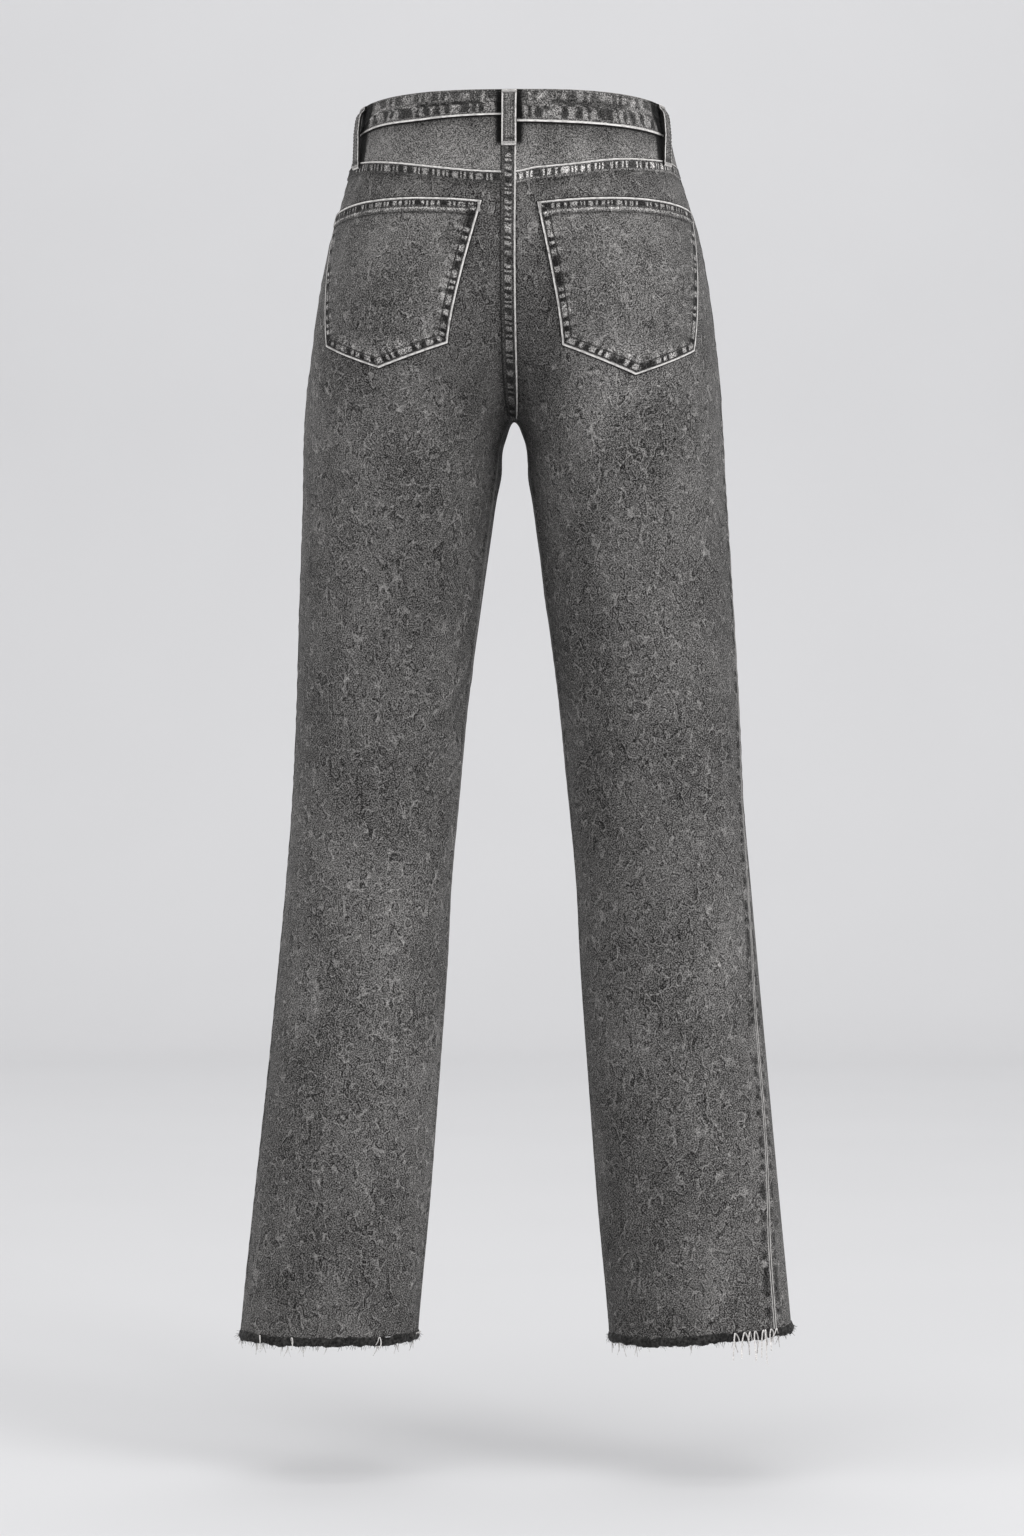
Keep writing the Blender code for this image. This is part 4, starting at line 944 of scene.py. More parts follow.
def hem_rise(side, u):
    from_inseam = np.minimum(u, 1.0 - u)
    return HEM_RISE[side] * soft_step((from_inseam - HEM_RISE_FROM) / HEM_RISE_OVER)


def fine_shares(length):
    edge = np.array(EDGE_STEPS)
    middle = np.linspace(edge[-1], length - edge[-1], MIDDLE_STEPS + 1)[1:-1]
    return np.concatenate((edge, middle, length - edge[::-1])) / length


def heights_below_crotch():
    near = NEAR_DEPTH * np.linspace(0.0, 1.0, NEAR_STEPS + 1)[1:] ** 1.6
    rest = np.linspace(near[-1], CROTCH_HEIGHT - HEM_HEIGHT, LEG_STEPS + 1)[1:]
    inner = CROTCH_HEIGHT - np.concatenate((near, rest))
    return inner, np.linspace(CROTCH_SIDE, HEM_HEIGHT, len(inner) + 1)[1:]


def heights_above_crotch(top, face):
    heights = np.linspace(sqrt(top - CROTCH_HEIGHT), 0.0, 400) ** 2 + CROTCH_HEIGHT
    depth = at_height(CENTRE_SEAM[face], heights)
    along = np.concatenate(([0.0], np.cumsum(np.hypot(np.diff(heights), np.diff(depth)))))
    return np.interp(np.linspace(0.0, along[-1], RISE_STEPS + 1), along, heights)


def seam_distances(side, u, height, face):
    """Distances along the cloth to the side seam and to the centre seam or inseam."""
    length = half_length(side, height)
    to_side = np.abs(u - side_seam(side, height)) * length
    to_inner = (u if face == "back" else 1.0 - u) * length
    return to_side, to_inner


def panel_fields(side, u, height, face):
    """Relief of a panel's sewn edges, and the seam fields of its shader."""
    to_side, to_inner = seam_distances(side, u, height, face)
    below = soft_step((CROTCH_HEIGHT + 0.01 - height) / 0.02)
    inner_share = below if face == "back" else np.maximum(below, 0.75)
    relief = np.maximum(seam_relief(to_side), seam_relief(to_inner) * inner_share)
    side_count = pucker_count(-height, SIDE_PITCH, 3 + side)
    inner_count = pucker_count(-height, SIDE_PITCH, 13 + side)
    near_side = to_side < to_inner
    away = np.where(near_side, to_side, to_inner)
    count = np.where(near_side, side_count, inner_count)
    strength = np.where(near_side, 1.0, 0.45 * inner_share)
    swell = np.cos(2 * pi * count) * between(away, 0.0015, 0.0100, 0.0015)
    relief = relief + SIDE_PUCKER * swell * strength - rolled(away)
    return relief, away, count, strength


def dress_panel(name, side, u, height, face, node, to_edge=None):
    climb = soft_step((HEM_HEIGHT + HEM_SETTLE - height) / HEM_SETTLE)
    height = height + hem_rise(side, u) * climb
    relief, away, count, strength = panel_fields(side, u, height, face)
    to_inner = seam_distances(side, u, height, face)[1]
    creased = leg_creases(side, face, to_inner, height)
    relief = relief + creased
    # lighter on fold and crease ridges, as wear; darker in their hollows, as painted shade
    tone = fading_and_shade(side, u, height) * (1.0 + FOLD_WEAR_AND_SHADE_GAIN * fold_relief(side, u, height))
    tone = tone * (1.0 + LEG_CREASE_WEAR_AND_SHADE * creased)
    if face == "back":
        below = yoke_line(side, u) - height - YOKE_LAP
        # painted shade under the yoke seam's lap, then painted shadow beside the seat seam's lap
        tone = with_tones(tone, below, UNDER_YOKE_PAINTED_SHADE)
        beside = to_inner - (SEAT_LAP[1] if side == LEFT else -SEAT_LAP[0])
        tone = tone * (1.0 - BESIDE_SEAT_PAINTED_SHADE[side] * between(beside, *BESIDE_SEAT)
                       * soft_step((height - CROTCH_HEIGHT) / 0.01))
    if to_edge is not None:
        relief = relief - rolled(to_edge)
        strength = np.where(to_edge < away, 1.0, strength)
        away = np.minimum(away, to_edge)
    outer = cloth(side, u, height, relief)
    inner = cloth(side, u, height, np.minimum(relief, 0.0) * 0.4 - PANEL_WALL)
    at = (side * u * half_length(side, height), height)
    piece = shell(name, outer, inner, LEG, at, away, count, strength, tone)
    return stand_in(piece, node)


def add_back(side):
    inner_below, outer_below = heights_below_crotch()
    inner = np.concatenate((heights_above_crotch(YOKE_BACK, "back"), inner_below))
    outer = np.concatenate((np.linspace(YOKE_SIDE, CROTCH_SIDE, RISE_STEPS + 1), outer_below))
    rows, shares = [], []
    for row, (inner_height, outer_height) in enumerate(zip(inner, outer)):
        share = fine_shares(side_seam(side, outer_height) * half_length(side, outer_height))
        height = inner_height + (outer_height - inner_height) * share
        u = share * side_seam(side, height)
        settle = soft_step(1.0 - row / 12)
        chord = YOKE_BACK + (YOKE_SIDE - YOKE_BACK) * share
        height = height + (yoke_line(side, u) - SEAM_GAP / 2 - chord) * settle
        rows.append(height)
        shares.append(share * side_seam(side, height))
    name = "back_" + SIDE_NAMES[side]
    return dress_panel(name + "_denim", side, np.array(shares), np.array(rows), "back", name)


def scoop(side, turn):
    """The edge of the front pocket opening: turn runs from the waistband to the side seam."""
    top_u = 1.0 - SCOOP_TOP / half_length(side, BAND_BOTTOM_SIDE)
    side_u = side_seam(side, SCOOP_BOTTOM)
    height = BAND_BOTTOM_SIDE - SEAM_GAP + (SCOOP_BOTTOM - BAND_BOTTOM_SIDE) * np.sin(turn)
    return top_u + (side_u - top_u) * (1.0 - np.cos(turn)), height


SCOOP_STEPS = 46


def add_front(side):
    inner_below, outer_below = heights_below_crotch()
    inner_above = heights_above_crotch(BAND_BOTTOM_SIDE - SEAM_GAP, "front")
    scoop_u, scoop_height = scoop(side, np.linspace(0.0, pi / 2, SCOOP_STEPS + 1))
    outer_above = np.linspace(scoop_height[-1], CROTCH_SIDE, RISE_STEPS - SCOOP_STEPS + 1)[1:]
    inner = np.concatenate((inner_above, inner_below))
    outer = np.concatenate((scoop_height, outer_above, outer_below))
    outer_u = side_seam(side, outer)
    outer_u[:SCOOP_STEPS + 1] = scoop_u
    rows, shares, edges = [], [], []
    for row, (inner_height, outer_height, edge) in enumerate(zip(inner, outer, outer_u)):
        share = fine_shares((1.0 - edge) * half_length(side, outer_height))
        height = inner_height + (outer_height - inner_height) * share
        reach = 1.0 - edge if row <= SCOOP_STEPS else 1.0 - side_seam(side, height)
        rows.append(height)
        shares.append(1.0 - share * reach)
        inset = (1.0 - share) * (1.0 - edge) * half_length(side, height)
        edges.append(inset if row <= SCOOP_STEPS else np.ones_like(share))
    name = "front_" + SIDE_NAMES[side]
    return dress_panel(name + "_denim", side, np.array(shares), np.array(rows), "front", name,
                       np.array(edges))


YOKE_ROWS = 46
YOKE_STEPS = 140


def add_yoke(side):
    length = side_seam(side, YOKE_SIDE) * half_length(side, YOKE_SIDE)
    share = np.linspace(SEAM_GAP / 2 / length, 1.0 - SEAM_GAP / 2 / length, YOKE_STEPS + 1)
    rows, shares = [], []
    for down in np.linspace(0.0, 1.0, YOKE_ROWS + 1):
        u = share * side_seam(side, YOKE_SIDE)
        top = band_bottom(side, u) - SEAM_GAP
        height = top + (yoke_line(side, u) + SEAM_GAP / 2 - top) * down
        rows.append(height)
        shares.append(share * side_seam(side, height))
    height, u = np.array(rows), np.array(shares)
    to_side = seam_distances(side, u, height, "back")[0]
    to_seam = height - yoke_line(side, u)
    under_band = band_bottom(side, u) - height
    relief = seam_relief(to_side) - rolled(to_side)
    away = np.minimum(to_side, to_seam + 0.004)
    # painted shade along the yoke seam's fold and under the band's edge
    tone = with_tones(fading_and_shade(side, u, height), to_seam, YOKE_SEAM_PAINTED_SHADE)
    tone = with_tones(tone, under_band, UNDER_BAND_PAINTED_SHADE)
    tone = tone * (YOKE_TONE[0] + YOKE_TONE[1] * under_band / (under_band + to_seam + 0.001))
    # painted shade beside the belt loops, on the outside only
    shade = painted_loop_shade(side * u * half_length(side, height), height)
    outer = cloth(side, u, height, relief)
    inner = cloth(side, u, height, np.full_like(u, -PANEL_WALL))
    name = "yoke_" + SIDE_NAMES[side]
    at = (side * u * half_length(side, height), height)
    piece = shell(name + "_denim", outer, inner, YOKE, at, away,
                  pucker_count(u * length, 0.006, 23 + side), 0.6 * (to_side < 0.02), tone,
                  shade)
    return stand_in(piece, name)


# ---------------------------------------------------------------------------------------------
# Felled seams: the yoke seam on each side and the seat seam

LAP_STEP = 0.0011
LAP_ROWS = 12
YOKE_PITCH = 0.0050
LAP_TONE = {LEFT: 0.72, RIGHT: 1.42}
YOKE_LAP_TONES = ((0.0020, 0.0026, 0.0006, -0.45), (0.0086, 0.0096, 0.0008, 0.50))
SEAT_LAP_TONES = ((-0.001, 0.0012, 0.0006, -0.70),)
FOLD_STEPS = (0.0, 0.00025, 0.0006)     # fine steps round a fold
SEAT_PITCH = 0.0058
YOKE_PUCKER = 0.00022
SEAT_SEWN = (0.0024, 0.0094)    # its rows of stitches, from the fold
SEAT_TOP = -0.0068          # the seat seam starts under the band and ends at the crotch
SEAT_END = CROTCH_HEIGHT + 0.0012
SEAT_ROWS = 226
SEAT_SLANT = 30.0           # pucker turns a metre that the seat seam's puckers lean by


def yoke_lap_lift(side, distance, height):
    """How far the felled yoke seam stands out at a point, and its distance below the fold."""
    length = half_length(side, height)
    u = distance / length
    below = yoke_line(side, u) - height
    count = pucker_count(distance, YOKE_PITCH, 31 + side)
    swell = np.cos(2 * pi * count) * between(below, 0.0020, 0.0080, 0.0012)
    tail = soft_step((YOKE_LAP - below) / 0.0016)
    lift = (LAP_RAISE + YOKE_PUCKER * swell) * tail - rolled(below) + 0.00012
    return lift, below, count


def add_yoke_lap(side):
    longest = side_seam(side, YOKE_SIDE) * half_length(side, YOKE_SIDE) - 0.0004
    distance = np.arange(0.0004, longest, LAP_STEP)
    drop = np.concatenate((FOLD_STEPS, np.linspace(0.0011, YOKE_LAP, LAP_ROWS)))
    u = distance / half_length(side, YOKE_SIDE)
    height = yoke_line(side, u)[None, :] + 0.0002 - drop[:, None]
    distance = np.broadcast_to(distance, height.shape)
    lift, below, count = yoke_lap_lift(side, distance, height)
    share = distance / half_length(side, height)
    # faded places and painted shade from the table, and painted shade beside the belt loops
    tone = fading_and_shade(side, share, height) * painted_loop_shade(side * distance, height)
    tone = with_tones(tone, below, YOKE_LAP_TONES) * LAP_TONE[side]
    outer = cloth(side, share, height, lift)
    inner = cloth(side, share, height, np.full_like(lift, -0.0002))
    piece = shell("yoke_seam_" + SIDE_NAMES[side], outer, inner, LAP, (side * distance, height),
                  np.maximum(below, 0.0), count, 1.0, tone)
    return piece


def seat_lap_lift(distance, height):
    """How far the felled seat seam stands out, with the distance from its folded edge."""
    from_fold = distance - SEAT_LAP[0]
    to_edge = SEAT_LAP[1] - distance
    count = pucker_count(-height, SEAT_PITCH, 41)
    swell = np.cos(2 * pi * (count + from_fold * SEAT_SLANT))
    swell = swell * between(from_fold, 0.002, 0.0105, 0.001)
    crossing = between(height, YOKE_BACK - YOKE_LAP, YOKE_BACK + 0.0006, 0.0012)
    lift = LAP_RAISE + 0.0002 * swell + 0.0006 * crossing
    lift = lift * soft_step(to_edge / 0.0014) - rolled(from_fold) + 0.00012
    return lift, from_fold, count


def add_seat_lap():
    down = np.linspace(0.0, 1.0, SEAT_ROWS)
    first, last = sqrt(SEAT_TOP - CROTCH_HEIGHT), sqrt(SEAT_END - CROTCH_HEIGHT)
    roots = first + (last - first) * down ** 1.25
    height = (CROTCH_HEIGHT + roots ** 2)[:, None]
    across = np.concatenate((FOLD_STEPS, np.linspace(0.0012, 0.0122, LAP_ROWS)))
    distance = SEAT_LAP[0] + across[None, :]
    distance, height = np.broadcast_arrays(distance, height)
    lift, from_fold, count = seat_lap_lift(distance, height)
    side_share = np.abs(distance) / half_length(LEFT, height)
    # faded places and painted shade from the table, and painted shade beside the back loop
    tone = fading_and_shade(LEFT, side_share, height) * painted_loop_shade(distance, height)
    tone = with_tones(tone, SEAT_LAP[1] - distance, SEAT_LAP_TONES)
    rows = sum(between(from_fold, row - 0.0004, row + 0.0004, 0.0005) for row in SEAT_SEWN)
    tone = tone * (1.0 - 0.70 * rows)
    outer = cloth_from_back(distance, height, lift)
    inner = cloth_from_back(distance, height, np.full_like(lift, -0.0002))
    piece = shell("seat_seam", outer, inner, SEAT, (distance, height), from_fold,
                  count + from_fold * SEAT_SLANT, 1.0, tone)
    return piece


# ---------------------------------------------------------------------------------------------
# Sewing

STITCH_RADIUS = 0.00030
STITCH_PITCH = 0.0030
STITCH_FILL = 0.74          # a stitch's share of the pitch
# Rings down a stitch: place along it, width and lift as shares of its length and radius.
STITCH_RINGS = ((-0.50, 0.45, -0.6), (-0.28, 1.0, 0.5), (0.28, 1.0, 0.5), (0.50, 0.45, -0.6))
STITCH_SIDES = 4


def surface_frame(point_of, across, height):
    """Points of a raised line on the cloth and the cloth's normals there."""
    point = point_of(across, height, 0.0)
    ahead = point_of(across, height, 0.001) - point
    return point, unit(ahead)


def along_line(line, pitch):
    """Evenly spaced places along a line of (across, height) rows."""
    line = np.asarray(line, float)
    steps = np.hypot(*np.diff(line, axis=0).T)
    along = np.concatenate(([0.0], np.cumsum(steps)))
    count = max(int(round(along[-1] / pitch)), 1)
    ends = np.linspace(0.0, along[-1], count + 1)
    return np.stack([np.interp(ends, along, line[:, axis]) for axis in (0, 1)], axis=-1)


def stitches_at(places, point_of):
    """Stitches between neighbouring places: starts, ends and normals."""
    point, normal = surface_frame(point_of, places[:, 0], places[:, 1])
    gap = (1.0 - STITCH_FILL) / 2
    starts = point[:-1] + (point[1:] - point[:-1]) * gap
    ends = point[1:] - (point[1:] - point[:-1]) * gap
    return starts, ends, normal[:-1]


def running(line, point_of, pitch=STITCH_PITCH):
    return stitches_at(along_line(line, pitch), point_of)


def bartack(centre, direction, point_of, length=0.0090, width=0.0022, count=15):
    """Short stitches packed side by side, across a line at centre along direction."""
    turn = np.array((np.cos(direction), np.sin(direction)))
    cross = np.array((-turn[1], turn[0])) * width / 2
    along = np.linspace(-0.5, 0.5, count)[:, None] * turn * length
    lean = turn * 0.0004
    first = np.asarray(centre) + along + cross - lean
    last = np.asarray(centre) + along - cross + lean
    start, normal = surface_frame(point_of, first[:, 0], first[:, 1])
    end, _ = surface_frame(point_of, last[:, 0], last[:, 1])
    return start, end, normal


def sew(name, runs, material, radius=STITCH_RADIUS):
    """One joined mesh of every stitch in the runs."""
    start, end, up = (np.concatenate([run[i] for run in runs]) for i in range(3))
    along = end - start
    side = unit(np.cross(along, up))
    points = []
    for place, wide, high in STITCH_RINGS:
        for k in range(STITCH_SIDES):
            turn = 2 * pi * (k + 0.5) / STITCH_SIDES
            points.append((start + end) / 2 + along * place
                          + side * (np.cos(turn) * wide * radius)
                          + up * ((np.sin(turn) * wide * 0.8 + high) * radius))
    points = np.stack(points, axis=1)
    faces = []
    last = (len(STITCH_RINGS) - 1) * STITCH_SIDES
    for ring in range(len(STITCH_RINGS) - 1):
        for k in range(STITCH_SIDES):
            j = (k + 1) % STITCH_SIDES
            base = ring * STITCH_SIDES
            faces.append((base + k, base + k + STITCH_SIDES, base + j + STITCH_SIDES, base + j))
    faces.append(tuple(range(STITCH_SIDES)))
    faces.append(tuple(range(last + STITCH_SIDES - 1, last - 1, -1)))
    each = len(STITCH_RINGS) * STITCH_SIDES
    every = (np.array(faces)[None] + each * np.arange(len(start))[:, None, None]).reshape(-1, 4)
    piece = link(name, points.reshape(-1, 3), every.tolist(), material, {})
    return piece


# ---------------------------------------------------------------------------------------------
# Back pockets

# Distances along the cloth from the centre back and heights of the corners and the point.
POCKET_COLUMNS = ("side", "top_in", "top_out", "low_in", "point", "low_out",
                  "height_top_in", "height_top_mid", "height_top_out",
                  "height_low_in", "height_point", "height_low_out")
POCKETS = (
    (LEFT, 0.0195, 0.1740, 0.0510, 0.1100, 0.1610, -0.0745, -0.0710, -0.0750,
     -0.1850, -0.2040, -0.1840),
    (RIGHT, 0.0215, 0.1780, 0.0455, 0.1100, 0.1600, -0.0760, -0.0715, -0.0740,
     -0.1865, -0.2100, -0.1890),
)
POCKET_STEPS = (128, 108)
POCKET_PITCH = 0.0094       # puckers round a pocket, and along its hem
POCKET_HEM_PITCH = 0.0050
POCKET_PUCKER = 0.00018
POCKET_HEM = 0.0108         # depth of the turned hem
POCKET_CROWN = 0.0009
POCKET_SEWN = (0.0031, 0.0082)   # the two rows of stitches, from the edge
POCKET_HEM_SEWN = (0.0032, POCKET_HEM - 0.0036)
HEM_RIDGE = (0.0080, 0.0106, 0.0007)    # the pale ridge of the turned hem
HEM_RIDGE_GAIN = 1.10
# painted shade just below the turned hem's edge
BELOW_HEM_PAINTED_SHADE = ((0.0120, 0.0134, 0.0009, -0.80),)
GROOVE_DARK = 0.85


def pocket_outline(pocket, count=17):
    """The pocket's outline in (distance, height): the top edge from the inner corner, the outer
    side, the point and the inner side, as separate lines."""
    share = np.linspace(0.0, 1.0, count)
    top = pocket["top_in"] + (pocket["top_out"] - pocket["top_in"]) * share
    chord = pocket["height_top_in"] + (pocket["height_top_out"] - pocket["height_top_in"]) * share
    lift = pocket["height_top_mid"] - (pocket["height_top_in"] + pocket["height_top_out"]) / 2
    hem = np.stack((top, chord + lift * 4.0 * share * (1.0 - share)), axis=-1)
    corners = {key: np.array((pocket[key], pocket["height_" + key]))
               for key in ("low_in", "point", "low_out")}
    return {"hem": hem, "outer": np.stack((hem[-1], corners["low_out"])),
            "low_outer": np.stack((corners["low_out"], corners["point"])),
            "low_inner": np.stack((corners["point"], corners["low_in"])),
            "inner": np.stack((corners["low_in"], hem[0]))}


def to_line(points, line):
    """Distance of points to a line of rows, and how far along it the nearest place is."""
    best = np.full(points.shape[:-1], 1e9)
    along_best = np.zeros(points.shape[:-1])
    travelled = 0.0
    for first, last in zip(line, line[1:]):
        run = last - first
        length = np.hypot(*run)
        share = np.clip(((points - first) @ run) / length ** 2, 0.0, 1.0)
        away = np.hypot(*np.moveaxis(points - first - share[..., None] * run, -1, 0))
        nearer = away < best
        best = np.where(nearer, away, best)
        along_best = np.where(nearer, travelled + share * length, along_best)
        travelled += length
    return best, along_best


def pocket_fields(pocket, distance, height):
    """Lift, nearest-edge distance, pucker count, strength and tone on a pocket."""
    outline = pocket_outline(pocket)
    points = np.stack(np.broadcast_arrays(distance, height), axis=-1)
    away = np.full(points.shape[:-1], 1e9)
    count = np.zeros(points.shape[:-1])
    started = 0.0
    distances = {}
    for key, line in outline.items():
        near, along = to_line(points, line)
        distances[key] = near
        pitch = POCKET_HEM_PITCH if key == "hem" else POCKET_PITCH
        turns = pucker_count(along + started, pitch, 51 + pocket["side"] + len(key))
        closer = near < away
        away = np.where(closer, near, away)
        count = np.where(closer, turns, count)
        started += 0.2
    swell = np.cos(2 * pi * count) * between(away, 0.0036, 0.0076, 0.0008)
    hem = distances["hem"]
    sides = np.minimum(distances["inner"], distances["outer"])
    double = 0.0005 * (1.0 - soft_step((hem - POCKET_HEM) / 0.0010))
    groove = sum(between(away, sewn - 0.0005, sewn + 0.0005, 0.0004) for sewn in POCKET_SEWN)
    crown = POCKET_CROWN * soft_step((away - 0.006) / 0.040)
    lift = (POCKET_GAP + POCKET_WALL + double + crown + POCKET_PUCKER * swell
            - 0.00016 * groove - rolled(away, 0.0004))
    ridge = between(hem, *HEM_RIDGE) * soft_step((sides - 0.003) / 0.003)
    # the hem's pale ridge, then painted shade below the hem's edge
    tone = with_tones(1.0 + HEM_RIDGE_GAIN * ridge, hem, BELOW_HEM_PAINTED_SHADE)
    tone = tone * (1.0 - GROOVE_DARK * groove)
    strength = 1.0 - 0.80 * between(hem, 0.0078, 0.0170, 0.0006) * (hem <= away + 1e-6)
    return lift, away, count, strength, tone


# Lighter and darker places on the pockets: side, distance, height, half width, half height, gain.
POCKET_FADES = (
    (LEFT, 0.075, -0.168, 0.016, 0.010, 0.30),
    (LEFT, 0.106, -0.186, 0.026, 0.007, 0.35),
    (LEFT, 0.053, -0.172, 0.008, 0.007, -0.50),
    (LEFT, 0.105, -0.135, 0.060, 0.050, -0.08),
    (RIGHT, 0.112, -0.150, 0.032, 0.045, 0.22),
    (RIGHT, 0.105, -0.120, 0.060, 0.050, 0.05),
    (RIGHT, 0.108, -0.192, 0.026, 0.008, 0.35),
    (RIGHT, 0.048, -0.176, 0.008, 0.008, -0.35),
    (RIGHT, 0.150, -0.178, 0.008, 0.007, -0.30),
)


def add_pocket(row):
    pocket = dict(zip(POCKET_COLUMNS, row))
    side = pocket["side"]
    outline = pocket_outline(pocket, POCKET_STEPS[0] + 1)
    across = np.linspace(0.0, 1.0, POCKET_STEPS[0] + 1)
    across = across - 0.55 * np.sin(2 * pi * across) / (2 * pi)
    top = pocket["top_in"] + (pocket["top_out"] - pocket["top_in"]) * across
    top_height = np.interp(top, outline["hem"][:, 0], outline["hem"][:, 1])
    low = pocket["low_in"] + (pocket["low_out"] - pocket["low_in"]) * across
    low_height = np.interp(low, [pocket["low_in"], pocket["point"], pocket["low_out"]],
                           [pocket["height_low_in"], pocket["height_point"],
                            pocket["height_low_out"]])
    down = np.linspace(0.0, 1.0, POCKET_STEPS[1] + 1)
    down = (down - 0.55 * np.sin(2 * pi * down) / (2 * pi))[:, None]
    distance = top + (low - top) * down
    height = top_height + (low_height - top_height) * down
    lift, away, count, strength, tone = pocket_fields(pocket, distance, height)
    for fade_side, at, at_height_, wide, tall, gain in POCKET_FADES:
        if fade_side == side:
            tone = tone * (1.0 + gain * spot(distance, height, at, at_height_, wide, tall))
    share = distance / half_length(side, height)
    outer = cloth(side, share, height, lift)
    inner = cloth(side, share, height, np.full_like(lift, POCKET_GAP * 0.4))
    name = "back_pocket_" + SIDE_NAMES[side]
    piece = shell(name + "_denim", outer, inner, POCKET, (side * distance, height), away, count,
                  strength, tone)
    return stand_in(piece, name), sew_pocket(pocket)


def inset_point(first, last, inset):
    """The corner between two edges of the outline, moved in by inset from both."""
    normals, offsets = [], []
    for line in (first, last):
        run = line[1] - line[0]
        normal = np.array((run[1], -run[0])) / np.hypot(*run)
        normals.append(normal)
        offsets.append(normal @ line[0] + inset)
    return np.linalg.solve(np.array(normals), np.array(offsets))


def sew_pocket(pocket):
    outline = pocket_outline(pocket)
    side = pocket["side"]

    def on_pocket(distance, height, raised):
        lift = pocket_fields(pocket, distance, height)[0]
        return cloth(side, distance / half_length(side, height), height, lift + raised)

    lines = [outline[key] for key in ("outer", "low_outer", "low_inner", "inner")]
    middle = np.array((pocket["point"], pocket["height_low_in"] + 0.05))
    runs = []
    for inset in POCKET_SEWN:
        signed = inset
        corner = inset_point(lines[0], lines[1], inset)
        if np.hypot(*(corner - middle)) > np.hypot(*(lines[1][0] - middle)):
            signed = -inset
        corners = [inset_point(lines[i], lines[i + 1], signed) for i in range(3)]
        first_run = lines[0][1] - lines[0][0]
        last_run = lines[3][1] - lines[3][0]
        start = corners[0] - first_run * (np.hypot(*(corners[0] - lines[0][0])) - 0.0008) \
            / np.hypot(*first_run)
        end = corners[2] + last_run * (np.hypot(*(corners[2] - lines[3][1])) - 0.0008) \
            / np.hypot(*last_run)
        runs.append(running(np.array([start, *corners, end]), on_pocket))
    for drop in POCKET_HEM_SEWN:
        hem = outline["hem"] - (0.0, drop)
        runs.append(running(hem[1:-1], on_pocket))
    tacks = []
    for at, lean in ((outline["hem"][0], 0.0034), (outline["hem"][-1], -0.0034)):
        tacks.append(bartack(at + np.array((lean, -0.0052)), pi / 2, on_pocket, 0.0085, 0.0024))
    stitches = sew("pocket_stitches_" + SIDE_NAMES[side], runs, SEWING)
    tack = sew("pocket_bartacks_" + SIDE_NAMES[side], tacks, BARTACK)
    return [stitches, tack]


# ---------------------------------------------------------------------------------------------
# Pocket facing, waistband, button and belt loops

FACING_OVERLAP = 0.0150     # how far the facing runs on behind the front, and below the scoop
FACING_BELOW = 0.0120
FACING_LEVEL = 0.0040       # where it starts to come level with the side seam, and over what
FACING_SINK = 0.0300
FACING_STEPS = (44, 30)
# painted shade on the facing where the front's scoop edge overhangs it
FACING_EDGE_PAINTED_SHADE = ((-0.004, 0.004, 0.003, -0.35),)
FACING_TUCK = 0.0045        # how far it runs up behind the band, where it lies deep enough
FACING_TUCK_FROM = 0.00215
FACING_TUCK_SOFT = 0.0004
FACING_TUCK_OVER = 0.020    # height over which that dies away

BAND_STEP = 0.0011
BAND_ROWS = 24
BAND_EDGE_SHARES = (0.0, 0.012, 0.03, 0.055)
BAND_PITCH = 0.0105
BAND_SEWN = (0.100, 0.880)  # its rows of stitches, as shares of the way down
BAND_TOP_TONES = ((-0.1, 0.045, 0.02, -0.40),)
BAND_SIDE_TONE = (0.98, 0.10, 0.02)     # both sides' mean, half their difference, softness
TUCK_START = 0.0350         # the right end starts this far before the centre front, tucked in
RISE_START = 0.0100         # and comes out to the face over this
RISE_LENGTH = 0.0260
# Creases of the band: signed distance from the centre back and share of the way down, to the
# same, then half width and lift.
BAND_CREASES = (
    (0.072, 0.46, 0.052, 0.50, 0.0014, -0.00080),
    (0.052, 0.50, 0.024, 0.46, 0.0014, -0.00085),
    (0.066, 0.62, 0.022, 0.58, 0.0013, 0.00040),
    (0.090, 0.24, 0.118, 0.52, 0.0009, 0.00070),
    (0.118, 0.52, 0.142, 0.80, 0.0009, 0.00070),
    (0.020, 0.12, 0.022, 0.46, 0.0008, 0.00080),
    (0.018, 0.30, 0.008, 0.88, 0.0006, 0.00075),
    (-0.014, 0.06, -0.022, 0.30, 0.0011, 0.00060),
    (-0.022, 0.30, -0.029, 0.10, 0.0011, 0.00060),
    (-0.034, 0.36, -0.060, 0.42, 0.0022, -0.00060),
    (-0.060, 0.42, -0.092, 0.38, 0.0022, -0.00055),
    (-0.092, 0.14, -0.135, 0.50, 0.0010, 0.00055),
    (-0.112, 0.40, -0.108, 0.85, 0.0010, 0.00055),
    (0.200, 0.40, 0.262, 0.52, 0.0016, -0.00040),
    (-0.205, 0.45, -0.250, 0.55, 0.0016, -0.00040),
    (0.330, 0.35, 0.372, 0.50, 0.0016, 0.00040),
    (-0.320, 0.52, -0.385, 0.42, 0.0016, -0.00040),
)


